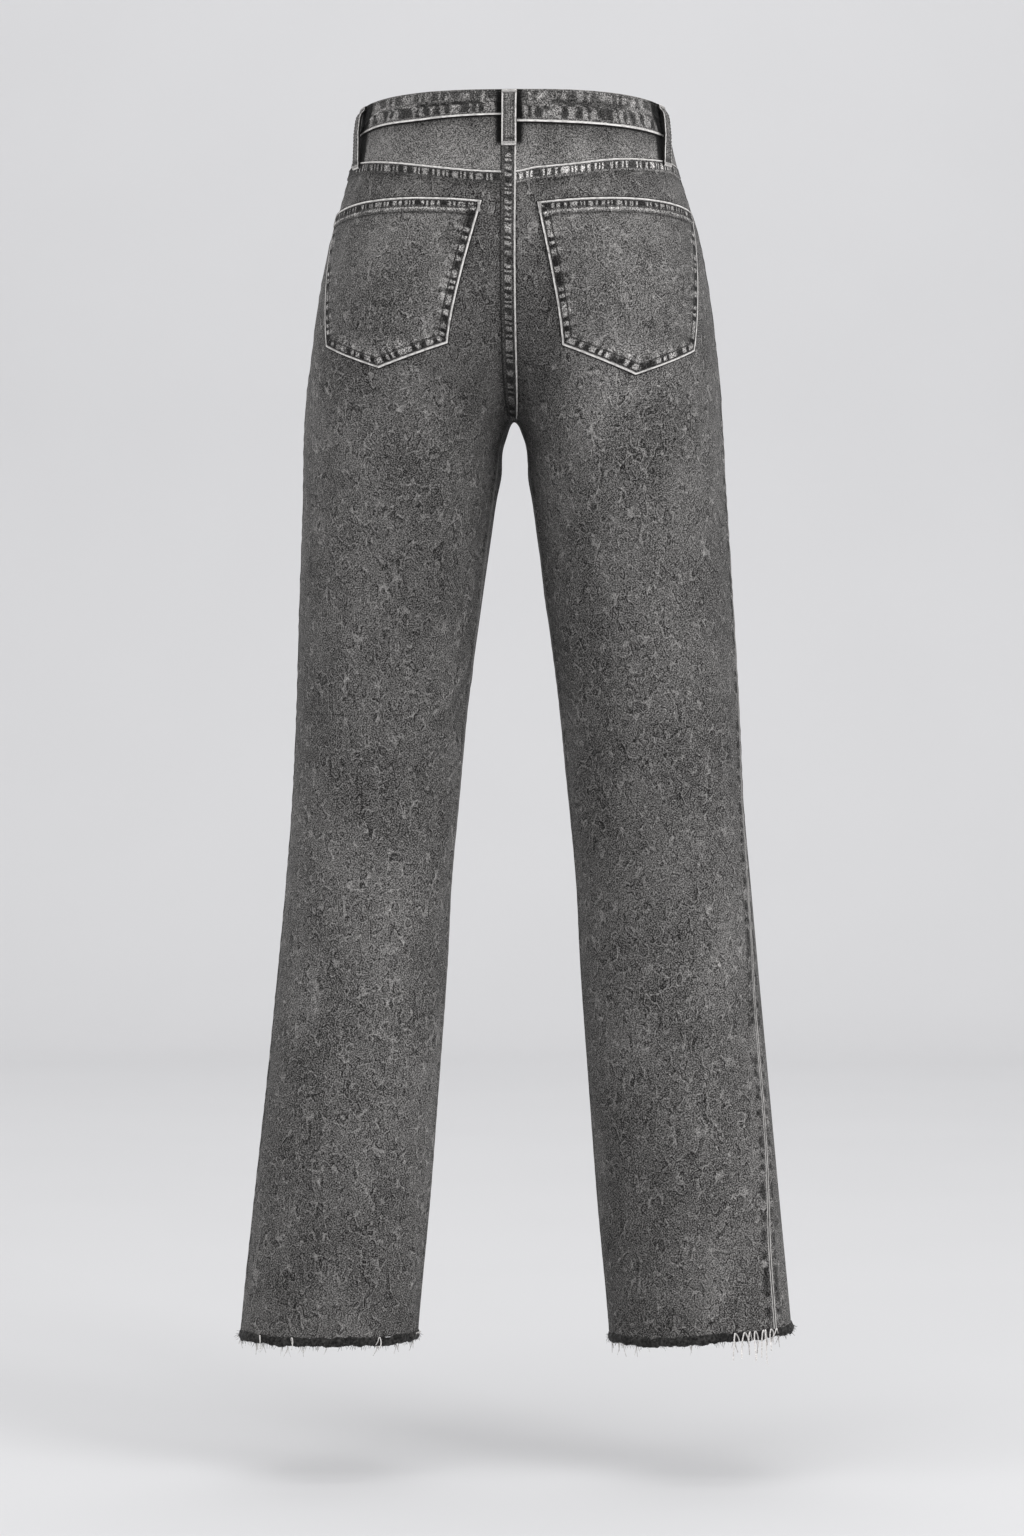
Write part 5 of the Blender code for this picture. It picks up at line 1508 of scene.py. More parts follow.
def add_facing(side):
    """The denim that shows in the scoop; it runs on behind the front."""
    scoop_u, scoop_height = scoop(side, np.linspace(0.0, pi / 2, 60))
    heights = np.linspace(BAND_BOTTOM_SIDE - SEAM_GAP, SCOOP_BOTTOM - FACING_BELOW,
                          FACING_STEPS[0] + 1)
    lengths = half_length(side, heights)
    edge = np.interp(-heights, -scoop_height, scoop_u) + FACING_OVERLAP / lengths
    start = side_seam(side, heights) + SEAM_GAP / 2 / lengths
    u = start[:, None] + (edge - start)[:, None] * np.linspace(0.0, 1.0, FACING_STEPS[1] + 1)
    height = np.broadcast_to(heights[:, None], u.shape)
    open_width = (edge[:, None] - u) * lengths[:, None] - FACING_OVERLAP
    inset = FACING_INSET * (1.0 - soft_step((open_width - FACING_LEVEL) / FACING_SINK))
    to_side = (u - start[:, None]) * lengths[:, None]
    # painted shade along the front's scoop edge
    tone = with_tones(1.0, open_width, FACING_EDGE_PAINTED_SHADE)
    near_band = 1.0 - soft_step((heights[0] - height) / FACING_TUCK_OVER)
    deep_enough = soft_step((inset - FACING_TUCK_FROM) / FACING_TUCK_SOFT)
    height = height + FACING_TUCK * near_band * deep_enough
    outer = cloth(side, u, height, -inset - rolled(to_side))
    inner = cloth(side, u, height, -inset - FACING_WALL)
    name = "pocket_facing_" + SIDE_NAMES[side]
    at = (side * u * lengths[:, None], height)
    piece = shell(name + "_denim", outer, inner, LEG, at, to_side,
                  pucker_count(-height, SIDE_PITCH, 3 + side), 0.8, tone)
    return stand_in(piece, name)


def band_height(side, u, share):
    return band_top(u) + (band_bottom(side, u) - band_top(u)) * share


def band_height_round(signed, left_length, right_length, share):
    """The same at a signed distance from the centre back."""
    return np.where(signed >= 0.0, band_height(LEFT, np.abs(signed) / left_length, share),
                    band_height(RIGHT, np.abs(signed) / right_length, share))


def band_lift(signed, share):
    """Lift of the waistband's face at a signed distance from the centre back and a share of the
    way down it, with the distance from its nearer edge, the pucker count and the creases' own
    lift."""
    deep = band_top(0.3) - band_bottom(LEFT, 0.3)
    from_top, to_bottom = share * deep, (1.0 - share) * deep
    away = np.minimum(from_top * 1.4 + 0.0014, to_bottom)
    count = pucker_count(signed, BAND_PITCH, 61) + 0.4 * (share > 0.5)
    swell = np.cos(2 * pi * count) * between(away, 0.0020, 0.0065, 0.0010)
    relief = 0.00018 * swell - rolled(from_top, 0.0008) - rolled(to_bottom, 0.0008)
    creased = np.zeros_like(relief)
    for start, high, end, low, wide, lift in BAND_CREASES:
        off = near_line(signed, from_top, start, high * deep, end, low * deep)[1]
        creased = creased + lift * np.exp(-(off / wide) ** 2) * soft_step(to_bottom / 0.003)
    return relief + creased, away, count, creased


def band_stations():
    """Side, share and depth of each station round the band, from its tucked start to its end."""
    tuck = BAND_WALL + SEAM_GAP
    lengths = {side: float(half_length(side, 0.0)) for side in (LEFT, RIGHT)}
    stations = []
    for ahead in np.arange(TUCK_START, 0.0, -BAND_STEP):
        stations.append((LEFT, lengths[LEFT] - ahead, tuck))
    for past in np.arange(0.0, lengths[RIGHT], BAND_STEP):
        risen = soft_step((past - RISE_START) / RISE_LENGTH)
        stations.append((RIGHT, lengths[RIGHT] - past, tuck * (1.0 - float(risen))))
    for along in np.arange(0.0, lengths[LEFT], BAND_STEP):
        stations.append((LEFT, along, 0.0))
    for past in np.arange(0.0, BAND_OVERLAP + BAND_STEP / 2, BAND_STEP / 2):
        stations.append((RIGHT, lengths[RIGHT] - past, 0.0))
    return stations, lengths


def on_band(signed, share, raised):
    """Points on the waistband's face, at a signed distance and a share of the way down."""
    signed, share = np.broadcast_arrays(np.asarray(signed, float), np.asarray(share, float))
    length = float(half_length(LEFT, 0.0))
    u = np.abs(signed) / length
    relief = band_lift(signed, share)[0]
    height = band_height_round(signed, length, length, share)
    total = BAND_PROUD + relief + raised
    return np.where((signed >= 0.0)[..., None], cloth(LEFT, u, height, total),
                    cloth(RIGHT, u, height, total))


def add_waistband():
    stations, lengths = band_stations()
    edge = np.array(BAND_EDGE_SHARES)
    share = np.concatenate((edge, np.linspace(0.09, 0.91, BAND_ROWS), 1.0 - edge[::-1]))
    outer, inner, signed = [], [], []
    last = len(stations) - 1
    for row, (side, along, depth) in enumerate(stations):
        u = np.full_like(share, along / lengths[side])
        height = band_height(side, u, share)
        signed.append(np.full_like(share, side * along))
        relief = band_lift(signed[-1], share)[0]
        end = (last - row) * BAND_STEP / 2 if row > last - 3 else 1.0
        lift = BAND_PROUD - depth + relief - rolled(end, 0.0008)
        outer.append(cloth(side, u, height, lift))
        back = np.full_like(share, BAND_PROUD - depth - BAND_WALL) - np.minimum(relief, 0.0) * 0.5
        inner.append(cloth(side, u, height, back))
    signed = np.array(signed)
    shares = np.broadcast_to(share, signed.shape)
    relief, away, count, creased = band_lift(signed, shares)
    height = band_height_round(signed, lengths[LEFT], lengths[RIGHT], shares)
    # lighter on crease ridges, as wear; darker in crease hollows, as painted shade
    tone = np.clip(1.0 + BAND_CREASE_WEAR_AND_SHADE * creased, 0.3, 1.8)
    tone = with_tones(tone, shares, BAND_TOP_TONES)
    mean, half, soft = BAND_SIDE_TONE
    tone = tone * (mean - half * np.tanh(signed / soft))
    at = (signed, height)
    strength = 1.0 - 0.3 * soft_step((0.55 - shares) / 0.10)
    # painted shade beside the belt loops, on the outside only
    piece = shell("waistband_denim", np.array(outer), np.array(inner), BAND, at, away, count,
                  strength, tone, painted_loop_shade(signed, height))
    stand_in(piece, "waistband")
    rows = []
    for down in BAND_SEWN:
        line = np.stack((np.linspace(-lengths[RIGHT] + 0.002, lengths[LEFT] + 0.004, 800),
                         np.full(800, down)), axis=-1)
        rows.append(band_running(line))
    return piece, sew("waistband_stitches", rows, SEWING)


def band_running(line):
    """Stitches along the band: its lines run round it, so shares don't add to their length."""
    steps = np.abs(np.diff(line[:, 0]))
    along = np.concatenate(([0.0], np.cumsum(steps)))
    ends = np.linspace(0.0, along[-1], int(along[-1] / STITCH_PITCH) + 1)
    places = np.stack([np.interp(ends, along, line[:, axis]) for axis in (0, 1)], axis=-1)
    return stitches_at(places, on_band)


BUTTON_RADIUS = 0.0085
BUTTON_THICK = 0.0032
BUTTON_HEIGHT = -0.0045
# The button's profile: radius and height as shares of its own.
BUTTON_PROFILE = ((0.0, 0.30), (0.16, 0.31), (0.20, 0.36), (0.30, 0.38), (0.38, 0.34), (0.55, 0.30),
                  (0.70, 0.36), (0.80, 0.47), (0.90, 0.50), (0.97, 0.42), (1.00, 0.20),
                  (0.97, -0.10), (0.80, -0.28), (0.45, -0.34), (0.30, -0.50), (0.0, -0.50))
BUTTON_SIDES = 64
BUTTONHOLE = (0.0095, 0.0034)


def add_button():
    """A domed shank button with a plain rim."""
    point = cloth(LEFT, np.array([1.0]), np.array([BUTTON_HEIGHT]),
                  BAND_PROUD + SEAM_GAP + 0.0003 + BUTTON_THICK / 2)[0]
    normal = Vector(point - cloth(LEFT, np.array([1.0]), np.array([BUTTON_HEIGHT]), 0.0)[0])
    turn = normal.normalized().to_track_quat("Z", "Y").to_matrix()
    rings = []
    for radius, high in BUTTON_PROFILE[1:-1]:
        angle = 2 * pi * np.arange(BUTTON_SIDES) / BUTTON_SIDES
        rings.append(np.stack((np.cos(angle) * radius * BUTTON_RADIUS,
                               np.sin(angle) * radius * BUTTON_RADIUS,
                               np.full_like(angle, high * BUTTON_THICK)), axis=-1))
    count = len(rings)
    points = np.concatenate(rings + [[[0.0, 0.0, BUTTON_PROFILE[0][1] * BUTTON_THICK],
                                      [0.0, 0.0, BUTTON_PROFILE[-1][1] * BUTTON_THICK]]])
    points = points @ np.array(turn).T + point
    faces = []
    for k in range(BUTTON_SIDES):
        j = (k + 1) % BUTTON_SIDES
        faces.append((k, j, count * BUTTON_SIDES))
        for ring in range(count - 1):
            base = ring * BUTTON_SIDES
            faces.append((base + k, base + BUTTON_SIDES + k, base + BUTTON_SIDES + j, base + j))
        base = (count - 1) * BUTTON_SIDES
        faces.append((base + j, base + k, count * BUTTON_SIDES + 1))
    stand_in(link("button", points, faces, METAL, {}), "waist_button")


LOOP_ROWS = 64
LOOP_COLUMNS = tuple(np.concatenate(((-0.5, -0.485, -0.46), np.linspace(-0.43, 0.43, 29),
                                     (0.46, 0.485, 0.5))))
LOOP_SEWN = 0.0019          # stitches from each edge
LOOP_RIB = (0.00012, 0.0021)    # height and pitch of the ribs down a loop
LOOP_RIPPLE = (0.00012, 0.0046)     # and of the puckers across it
LOOP_EDGE_TONES = ((0.0022, 0.0028, 0.0005, -0.60),)
LOOP_FOOT_TONES = ((0.0034, 0.0062, 0.0012, -0.55),)


def loop_path(distance, foot):
    """Heights down a loop and how far it stands off the cloth, evenly spaced along it."""
    length = float(half_length(LEFT, 0.0))
    u = abs(distance) / length
    seam = SEAM_RAISE if abs(distance) < length / 2 else 0.0
    side = LEFT if distance >= 0.0 else RIGHT
    edge = float(band_bottom(side, u))
    lines = {"top": float(band_top(u)) - LOOP_INSET, "edge": edge, "foot": foot}
    levels = {"band": BAND_PROUD + SEAM_GAP, "cloth": seam + PANEL_CLEAR}
    heights = np.array([lines[row[0]] - row[1] for row in LOOP_STATIONS])
    levels = np.array([levels[row[2]] + LOOP_PITCH * row[3] for row in LOOP_STATIONS])
    fine = np.linspace(heights[0], heights[-1], 400)
    level = np.interp(-fine, -heights, levels)
    kernel = np.hanning(31)
    padded = np.pad(level, 15, mode="edge")
    smooth = np.convolve(padded, kernel / kernel.sum(), mode="valid")
    along = np.concatenate(([0.0], np.cumsum(np.hypot(np.diff(fine), np.diff(smooth)))))
    even = np.linspace(0.0, along[-1], LOOP_ROWS + 1)
    return np.interp(even, along, fine), np.interp(even, along, smooth), even


def add_loop(name, distance, foot):
    heights, levels, along = loop_path(distance, foot)
    across = np.array(LOOP_COLUMNS) * LOOP_WIDTH
    edge = LOOP_WIDTH / 2 - np.abs(across)[None, :]
    ends = np.minimum(along, along[-1] - along)[:, None]
    away = np.minimum(edge, ends + 0.0006)
    rib = np.cos(2 * pi * across / LOOP_RIB[1])[None, :]
    ribs = LOOP_RIB[0] * rib * soft_step((edge - 0.0022) / 0.001)
    lift = levels[:, None] + LOOP_WALL + ribs - rolled(edge, 0.0008) - rolled(ends, 0.0006)
    ripple = np.cos(2 * pi * along / LOOP_RIPPLE[1])[:, None]
    lift = lift + LOOP_RIPPLE[0] * ripple * soft_step(edge / 0.002)
    height = np.broadcast_to(heights[:, None], lift.shape)
    spread = np.broadcast_to(distance + across, lift.shape)
    outer = cloth_from_back(spread, height, lift)
    inner = cloth_from_back(spread, height, np.broadcast_to(levels[:, None], lift.shape))
    count = pucker_count(along, LOOP_RIPPLE[1], 71)[:, None]
    tone = with_tones(1.0 + 0.30 * rib, edge, LOOP_EDGE_TONES)
    tone = with_tones(tone, (along[-1] - along)[:, None], LOOP_FOOT_TONES)
    piece = shell(name + "_denim", outer, inner, LOOP, (spread, height), away, count, 1.0, tone)
    stand_in(piece, name)

    def on_loop(sideways, down, raised):
        at = np.interp(-np.asarray(down, float), -heights, levels) + LOOP_WALL
        return cloth_from_back(np.asarray(sideways, float), np.asarray(down, float), at + raised)

    runs, tacks = [], []
    for side in (-1, 1):
        line = [(distance + side * (LOOP_WIDTH / 2 - LOOP_SEWN), height)
                for height in np.linspace(heights[2], heights[-4], 40)]
        runs.append(running(line, on_loop, pitch=0.0028))
    for height in (heights[0] - 0.0016, heights[-1] + 0.0019):
        tacks.append(bartack((distance, height), 0.0, on_loop, 0.0112, 0.0020, 19))
    return piece, runs, tacks


# ---------------------------------------------------------------------------------------------
# Raw hems

HEM_STRIP = 0.0055
ROLL_AROUND = 420
ROLL_SIDES = 14
ROLL_MIDDLE = 0.52          # its middle's depth, its half height and its lint's, of the strip's
ROLL_HIGH = 0.66
ROLL_LINT = 0.5
ROLL_OUT = -0.00024         # its middle's place and its half thickness, out of the cloth
ROLL_THICK = 0.00195
FIBRES = 700                # short lint on each hem
FIBRE_RADIUS = 0.00016
TAILS = 30                  # longer loose threads anywhere on each hem
TAIL_GROUP = 3              # threads that hang together at each of the places below
TAIL_RADIUS = 0.00034
# Distances from the inseam where the pale weft hangs in small groups.
TAIL_PLACES = {
    LEFT: (0.0134, 0.0353, 0.0517, 0.0927, 0.1119, 0.1237, 0.1290, 0.1462, 0.1530, 0.1855, 0.2410,
           0.2980, 0.3520),
    RIGHT: (0.0120, 0.0241, 0.0300, 0.0441, 0.0890, 0.1229, 0.1573, 0.1640, 0.2300, 0.2870, 0.3420),
}
# Loose loops of the pale weft, hanging over the rolled edge: side, distance from the inseam,
# width, drop of one leg, the other leg's share of it, radius.
WEFT_LOOPS = (
    (RIGHT, 0.1238, 0.0034, 0.0210, 0.30, 0.00062),
    (RIGHT, 0.1312, 0.0050, 0.0200, 0.92, 0.00066),
    (RIGHT, 0.1356, 0.0026, 0.0120, 0.60, 0.00058),
    (RIGHT, 0.1402, 0.0040, 0.0235, 0.75, 0.00066),
    (RIGHT, 0.1468, 0.0054, 0.0215, 0.88, 0.00062),
    (RIGHT, 0.1490, 0.0024, 0.0270, 0.45, 0.00058),
    (RIGHT, 0.1541, 0.0036, 0.0170, 0.60, 0.00060),
    (RIGHT, 0.1588, 0.0028, 0.0085, 0.50, 0.00055),
    (LEFT, 0.0080, 0.0100, 0.0026, 0.60, 0.00045),
    (LEFT, 0.1200, 0.0024, 0.0100, 0.50, 0.00045),
    (LEFT, 0.1480, 0.0026, 0.0110, 0.30, 0.00045),
    (LEFT, 0.0520, 0.0030, 0.0090, 0.70, 0.00045),
)


def hem_point(side, distance, height, raised):
    """A point of the hem at a distance along it from the inseam."""
    u = np.mod(distance / half_length(side, np.full_like(distance, HEM_HEIGHT)), 1.0)
    return cloth(side, u, height + hem_rise(side, u), raised)


def hem_noise(places, seed, waves):
    """A smooth uneven line round the hem: a sum of whole waves."""
    scatter = np.random.default_rng(seed)
    total = np.zeros_like(places)
    for turns in waves:
        total += np.sin(2 * pi * places * turns + scatter.uniform(0.0, 2 * pi)) / sqrt(len(waves))
    return total


def add_hem(side, seed):
    """The rolled, felted raw edge."""
    share = np.arange(ROLL_AROUND) / ROLL_AROUND
    angle = 2 * pi * np.arange(ROLL_SIDES) / ROLL_SIDES
    droop = 0.0006 * hem_noise(share, seed, (5, 9, 17, 31))
    fat = 1.0 + 0.09 * hem_noise(share, seed + 1, (9, 23, 41, 67))
    middle = HEM_HEIGHT - HEM_STRIP * ROLL_MIDDLE + droop + hem_rise(side, share)
    lump = np.random.default_rng(seed + 2).uniform(0.90, 1.10, (ROLL_AROUND, ROLL_SIDES))
    height = middle[:, None] + np.sin(angle) * (HEM_STRIP * ROLL_HIGH) * fat[:, None] * lump
    out = ROLL_OUT + np.cos(angle) * ROLL_THICK * fat[:, None] * lump
    ring = cloth(side, np.broadcast_to(share[:, None], height.shape), height, out)
    at = np.arange(ROLL_AROUND * ROLL_SIDES).reshape(ROLL_AROUND, ROLL_SIDES)
    faces = np.stack((at, np.roll(at, -1, 0), np.roll(np.roll(at, -1, 0), -1, 1),
                      np.roll(at, -1, 1)), axis=-1).reshape(-1, 4)
    centre = ring[0].mean(axis=0)
    first = ring[0, 0]
    normal = np.cross(ring[1, 0] - ring[0, 0], ring[0, 1] - ring[0, 0])
    if np.dot(normal, first - centre) < 0.0:
        faces = faces[:, ::-1]
    name = "hem_" + SIDE_NAMES[side]
    piece = link(name + "_roll", ring.reshape(-1, 3), faces.tolist(), FRAYED, {})
    return stand_in(piece, name)


def strands(name, paths, radii, material, taper=0.45):
    """Thin threads of three sides as one mesh: paths is threads x points x 3."""
    threads, count = paths.shape[:2]
    run = unit(np.gradient(paths, axis=1))
    lean = unit(np.cross(run, (0.31, 0.87, 0.39)))
    other = np.cross(run, lean)
    thin = np.linspace(1.0, taper, count)[None, :, None] * np.asarray(radii)[:, None, None]
    rings = [paths + (lean * np.cos(turn) + other * np.sin(turn)) * thin
             for turn in 2 * pi * np.arange(3) / 3]
    points = np.stack(rings, axis=2).reshape(-1, 3)
    at = np.arange(threads * count * 3).reshape(threads, count, 3)
    start, end = at[:, :-1], at[:, 1:]
    sides = np.stack((start, np.roll(start, -1, 2), np.roll(end, -1, 2), end), axis=-1)
    caps = np.concatenate((at[:, 0, ::-1], at[:, -1]))
    faces = sides.reshape(-1, 4).tolist() + caps.tolist()
    piece = link(name, points, faces, material, {})
    return piece


def add_lint(side, seed):
    """Short fibres all over the rolled edge, and longer ends that hang from it."""
    scatter = np.random.default_rng(seed)
    name = SIDE_NAMES[side]
    length = float(half_length(side, HEM_HEIGHT))
    places = scatter.uniform(0.0, length, FIBRES)
    turn = scatter.uniform(-2.4, 0.6, FIBRES)
    reach = 0.0008 + 0.0024 * scatter.random(FIBRES) ** 2.0
    middle = HEM_HEIGHT - HEM_STRIP * ROLL_MIDDLE
    base_height = middle + np.sin(turn) * HEM_STRIP * ROLL_LINT
    base_out = np.cos(turn) * 0.0018 - 0.0002
    drift = scatter.uniform(-0.6, 0.6, (FIBRES, 2))
    paths = []
    for share in np.linspace(0.0, 1.0, 4):
        paths.append(hem_point(side, places + drift[:, 0] * reach * share,
                               base_height + (np.sin(turn) - 0.5 * share) * reach * share,
                               base_out + (np.cos(turn) + drift[:, 1] * share) * reach * share))
    lint = strands("hem_lint_" + name, np.stack(paths, axis=1),
                   scatter.uniform(0.7, 1.3, FIBRES) * FIBRE_RADIUS, FRAYED)

    spots = [at + scatter.uniform(-0.0012, 0.0012, TAIL_GROUP) for at in TAIL_PLACES[side]]
    places = np.concatenate((scatter.uniform(0.0, length, TAILS), *spots))
    reach = 0.0026 + 0.0036 * scatter.random(len(places)) ** 1.5
    reach[TAILS:] = scatter.uniform(0.0055, 0.0105, len(places) - TAILS)
    sway = scatter.uniform(-0.45, 0.45, (len(places), 2))
    paths = []
    for share in np.linspace(0.0, 1.0, 7):
        paths.append(hem_point(side, places + sway[:, 0] * reach * share ** 1.6,
                               HEM_HEIGHT - HEM_STRIP * 0.9 - reach * share,
                               sway[:, 1] * reach * share ** 1.5 * 0.6))
    tails = strands("hem_tails_" + name, np.stack(paths, axis=1),
                    scatter.uniform(0.8, 1.5, len(places)) * TAIL_RADIUS, LINT)
    return [lint, tails]


def add_weft(side):
    """Pale loops of weft that have pulled out of the hem."""
    rows = [row for row in WEFT_LOOPS if row[0] == side]
    paths = []
    turn = np.linspace(0.0, 1.0, 33)
    fall = np.maximum(np.abs(2.0 * turn - 1.0) - 0.06, 0.0) / 0.94
    for _, at, wide, drop, other, _ in rows:
        sway = 0.0013 * fall * np.sin(4.0 * turn + at * 900.0)
        across = at + wide / 2 * np.tanh(7.0 * (turn - 0.5)) + sway
        legs = drop * fall * np.where(turn < 0.5, 1.0, other)
        height = HEM_HEIGHT + HEM_STRIP * 0.10 - legs
        out = 0.0032 - 0.0014 * fall + 0.0006 * np.sin(pi * turn * 3.0 + at * 500.0)
        paths.append(hem_point(side, across, height, out))
    return strands("hem_weft_" + SIDE_NAMES[side], np.stack(paths),
                   [row[5] for row in rows], CREAM, taper=0.85)


# ---------------------------------------------------------------------------------------------
# Sewing of the panels, the yokes, the seat seam and the fly

FLY_SEWN = 0.0370           # the fly's line of stitches, from the centre front
FLY_TOP = -0.0185
FLY_TURN = -0.1350          # where it starts to curve in, and where it meets the centre seam
FLY_END = -0.1720
SCOOP_SEWN = (0.0016, 0.0074)


def front_point(side):
    """Points of a front, at a distance from the centre front."""
    def point_of(distance, height, raised):
        u = 1.0 - np.asarray(distance, float) / half_length(side, height)
        relief = panel_fields(side, u, height, "front")[0]
        return cloth(side, u, height, relief + raised)
    return point_of


def sew_yoke(side):
    def point_of(distance, height, raised):
        return cloth(side, distance / half_length(side, height), height,
                     yoke_lap_lift(side, distance, height)[0] + raised)

    longest = float(side_seam(side, YOKE_SIDE) * half_length(side, YOKE_SIDE)) - 0.002
    distance = np.linspace(0.0070, longest, 160)
    runs = []
    for drop in (0.0021, 0.0082):
        height = yoke_line(side, distance / half_length(side, YOKE_SIDE)) - drop
        runs.append(running(np.stack((distance, height), axis=-1), point_of))
    return sew("yoke_stitches_" + SIDE_NAMES[side], runs, SEWING)


def sew_seat():
    def point_of(distance, height, raised):
        return cloth_from_back(distance, height, seat_lap_lift(distance, height)[0] + raised)

    height = np.linspace(-0.012, SEAT_END + 0.004, 200)
    runs = [running(np.stack((np.full_like(height, SEAT_LAP[0] + inset), height), axis=-1),
                    point_of) for inset in SEAT_SEWN]
    return sew("seat_stitches", runs, SEWING)


def sew_front(side):
    point_of = front_point(side)
    runs, tacks = [], []
    scoop_u, scoop_height = scoop(side, np.linspace(0.02, pi / 2 - 0.03, 70))
    edge = (1.0 - scoop_u) * half_length(side, scoop_height)
    run = np.gradient(np.stack((edge, scoop_height), axis=-1), axis=0)
    normal = np.stack((run[:, 1], -run[:, 0]), axis=-1) / np.hypot(run[:, 0], run[:, 1])[:, None]
    if normal[0, 0] > 0.0:
        normal = -normal
    for inset in SCOOP_SEWN:
        runs.append(running(np.stack((edge, scoop_height), axis=-1) + normal * inset, point_of))
    for at, lean in ((2, 0.0), (-3, pi / 2)):
        centre = np.array((edge[at], scoop_height[at])) + normal[at] * 0.0044
        tacks.append(bartack(centre, lean, point_of, 0.0080, 0.0022))
    if side == LEFT:
        down = np.linspace(0.0, pi / 2, 30)
        for line in (FLY_SEWN, FLY_SEWN - 0.0055):
            straight = np.stack((np.full(40, line), np.linspace(FLY_TOP, FLY_TURN, 40)), axis=-1)
            bend = np.stack((line * np.cos(down) ** 0.8 + 0.0016 * np.sin(down),
                             FLY_TURN + (FLY_END - FLY_TURN) * np.sin(down)
                             * (line / FLY_SEWN)), axis=-1)
            runs.append(running(np.concatenate((straight, bend[1:])), point_of))
        for inset in (0.0018, 0.0066):
            height = np.linspace(FLY_END - 0.002, CROTCH_HEIGHT + 0.010, 60)
            runs.append(running(np.stack((np.full_like(height, inset), height), axis=-1), point_of))
        tacks.append(bartack((0.0052, FLY_END + 0.0010), 0.0, point_of, 0.0090, 0.0022))
        tacks.append(bartack((FLY_SEWN - 0.0030, FLY_TURN + 0.010), 1.2, point_of, 0.0085, 0.0022))
    name = SIDE_NAMES[side]
    return [sew("front_stitches_" + name, runs, SEWING),
            sew("front_bartacks_" + name, tacks, BARTACK)]


def sew_buttonhole():
    """Close stitches all round a slit beside the button."""
    turn = np.linspace(0.0, 2 * pi, 90)
    length = float(half_length(LEFT, 0.0))
    deep = float(band_top(1.0) - band_bottom(LEFT, 1.0))
    drop = (float(band_top(1.0)) - BUTTON_HEIGHT) / deep
    ring = []
    for grow in (1.0, 0.45):
        across = length - 0.0105 + np.cos(turn) * (BUTTONHOLE[0] - BUTTONHOLE[1] * (1 - grow))
        share = drop + np.sin(turn) * BUTTONHOLE[1] * grow / deep
        ring.append((across, share))
    start, normal = surface_frame(on_band, *ring[0])
    end = on_band(*ring[1], 0.0)
    return sew("buttonhole_stitches", [(start, end, normal)], SEWING, 0.00026)


# ---------------------------------------------------------------------------------------------
# The garment


backs, fronts, yokes = {}, {}, {}
band, band_stitches = add_waistband()
for leg in (LEFT, RIGHT):
    backs[leg] = add_back(leg)
    fronts[leg] = add_front(leg)
    yokes[leg] = add_yoke(leg)
seat_seam = add_seat_lap()
seat_stitches = sew_seat()
for leg in (LEFT, RIGHT):
    fringe = [add_hem(leg, 101 + leg), *add_lint(leg, 111 + leg), add_weft(leg)]
    sew_front(leg)
    add_yoke_lap(leg)
    sew_yoke(leg)
    add_facing(leg)
for pocket_row in POCKETS:
    pocket, sewing = add_pocket(pocket_row)
loop_runs, loop_tacks = [], []
for loop_row in LOOPS:
    loop, runs, tacks = add_loop(*loop_row)
    loop_runs += runs
    loop_tacks += tacks
loop_sewing = [sew("loop_stitches", loop_runs, SEWING),
               sew("loop_bartacks", loop_tacks, BARTACK)]
add_button()
sew_buttonhole()


# ---------------------------------------------------------------------------------------------
# Floor, backdrop, light and camera

FLOOR = -1.080
SWEEP_START = -4.30         # where the backdrop starts to curve up, behind the garment
SWEEP_RADIUS = 1.40
STAGE_WIDTH = 14.0
STAGE_NEAR = 6.0
STAGE_TOP = 4.0
PAPER = (0.715, 0.725)      # the backdrop's reflectance
DAYLIGHT = (1.0, 1.0, 1.008, 1.0)
DAYLIGHT_STRENGTH = 0.64
LIGHTS = (
    # name, place, what it faces, size and watts
    ("soft_right", (-2.6, 2.4, 0.6), (0.0, 0.0, -0.45), (1.6, 2.6), 72.0),
    ("soft_left", (3.2, 1.6, 0.4), (0.0, 0.0, -0.45), (1.4, 2.4), 26.0),
    ("soft_top", (0.0, 1.2, 2.4), (0.0, 0.0, -0.3), (2.4, 1.8), 34.0),
    ("backdrop_wash", (0.0, -2.2, 3.4), (0.0, -5.7, -0.2), (5.0, 1.6), 56.0),
)
YAW = radians(2.4)          # the camera's turn, distance, height and place aside
DISTANCE = 3.0
EYE = -0.513
ASIDE = 0.0016
FOCAL = 87.89               # millimetres on the frame's 36 mm long side


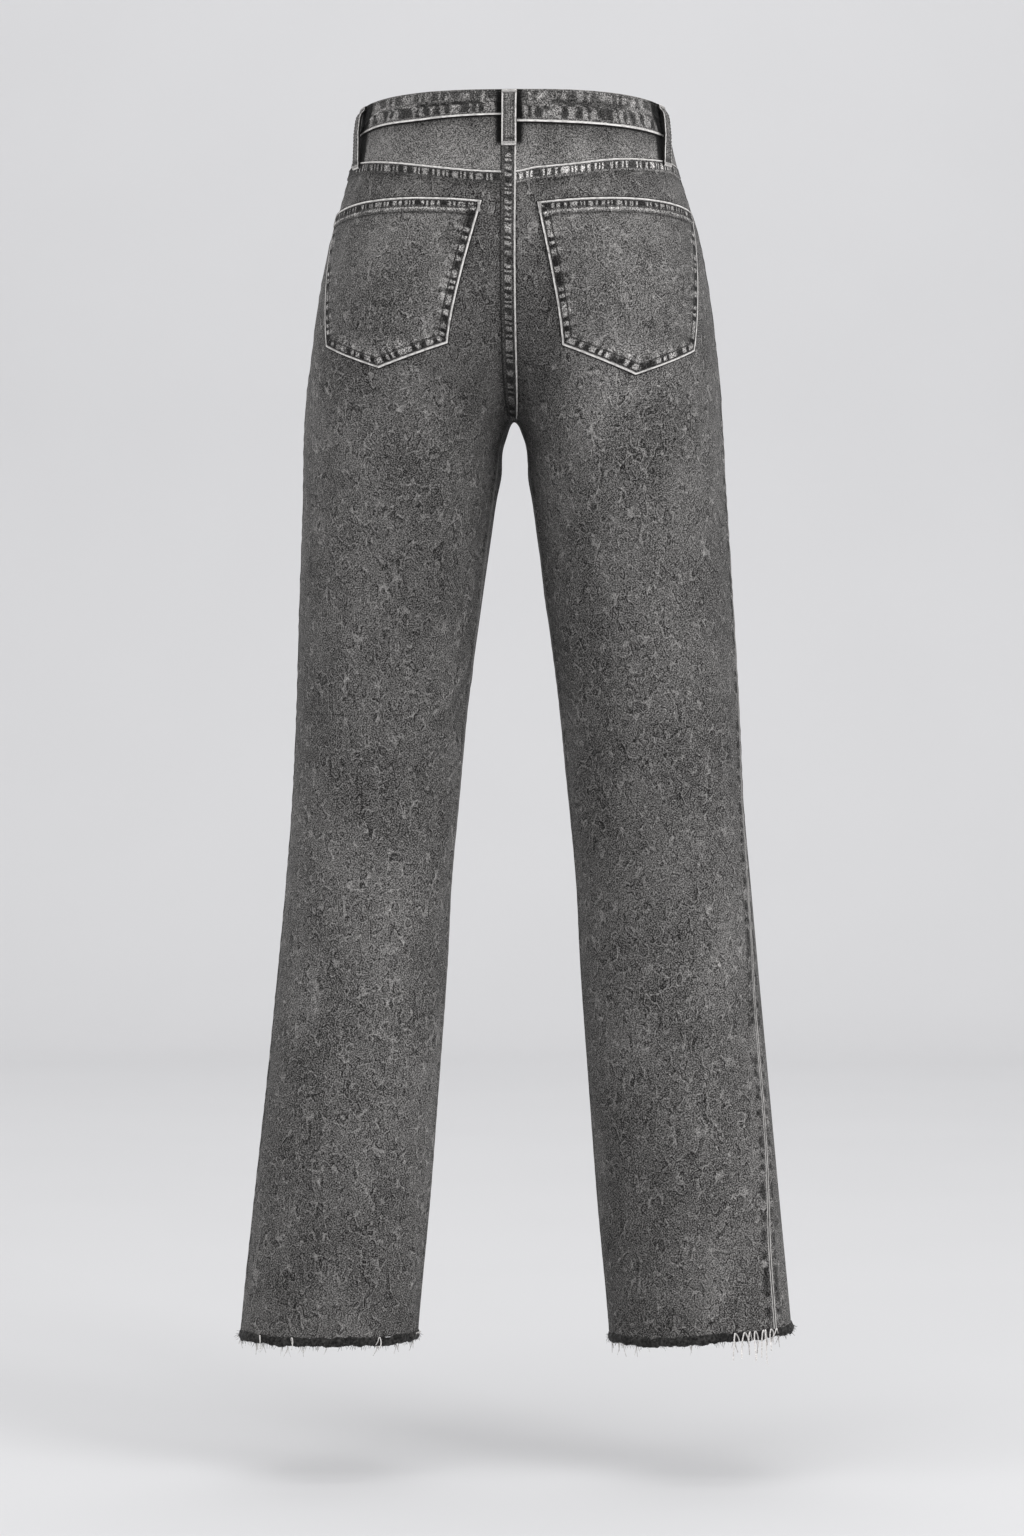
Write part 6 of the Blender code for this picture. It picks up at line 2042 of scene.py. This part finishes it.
def stage_material():
    g = Graph("studio_paper")
    grey = g.ramp(g.noise(g.place(), 3.0), 0.2, 0.8, *PAPER)
    return g.finish(grey, (0.992, 0.992, 1.006), 0.9)


def add_stage():
    profile = [(STAGE_NEAR, FLOOR), (2.0, FLOOR), (0.5, FLOOR)]
    for turn in np.linspace(0.0, pi / 2, 40):
        profile.append((SWEEP_START - SWEEP_RADIUS * np.sin(turn),
                        FLOOR + SWEEP_RADIUS * (1.0 - np.cos(turn))))
    profile.append((SWEEP_START - SWEEP_RADIUS, STAGE_TOP))
    points = [(x, y, z) for x in (-STAGE_WIDTH / 2, STAGE_WIDTH / 2) for y, z in profile]
    count = len(profile)
    faces = [(i, i + 1, i + 1 + count, i + count) for i in range(count - 1)]
    mesh = bpy.data.meshes.new("studio_sweep")
    mesh.from_pydata(points, [], faces)
    mesh.materials.append(stage_material())
    mesh.shade_smooth()
    add_object("studio_sweep", mesh)


def add_light(name, at, toward, size, power):
    lamp = bpy.data.lights.new(name, "AREA")
    lamp.shape = "RECTANGLE"
    lamp.size, lamp.size_y = size
    lamp.energy = power
    holder = add_object(name, lamp)
    holder.location = at
    holder.rotation_euler = (Vector(toward) - Vector(at)).to_track_quat("-Z", "Y").to_euler()


def add_camera():
    ahead = Vector((np.sin(YAW), -np.cos(YAW), 0.0))
    right = Vector((-np.cos(YAW), -np.sin(YAW), 0.0))
    camera = bpy.data.cameras.new("camera")
    camera.lens = FOCAL
    camera.sensor_width = 36.0
    camera.clip_end = 50.0
    holder = add_object("camera", camera)
    holder.location = -ahead * DISTANCE - right * ASIDE + Vector((0.0, 0.0, EYE))
    holder.rotation_euler = ahead.to_track_quat("-Z", "Y").to_euler()
    bpy.context.scene.camera = holder


add_stage()
world = bpy.data.worlds.new("studio")
world.use_nodes = True
world.node_tree.nodes["Background"].inputs["Color"].default_value = DAYLIGHT
world.node_tree.nodes["Background"].inputs["Strength"].default_value = DAYLIGHT_STRENGTH
bpy.context.scene.world = world
for light in LIGHTS:
    add_light(*light)
add_camera()
bpy.context.scene.view_settings.view_transform = "Standard"
bpy.context.scene.view_settings.look = "None"
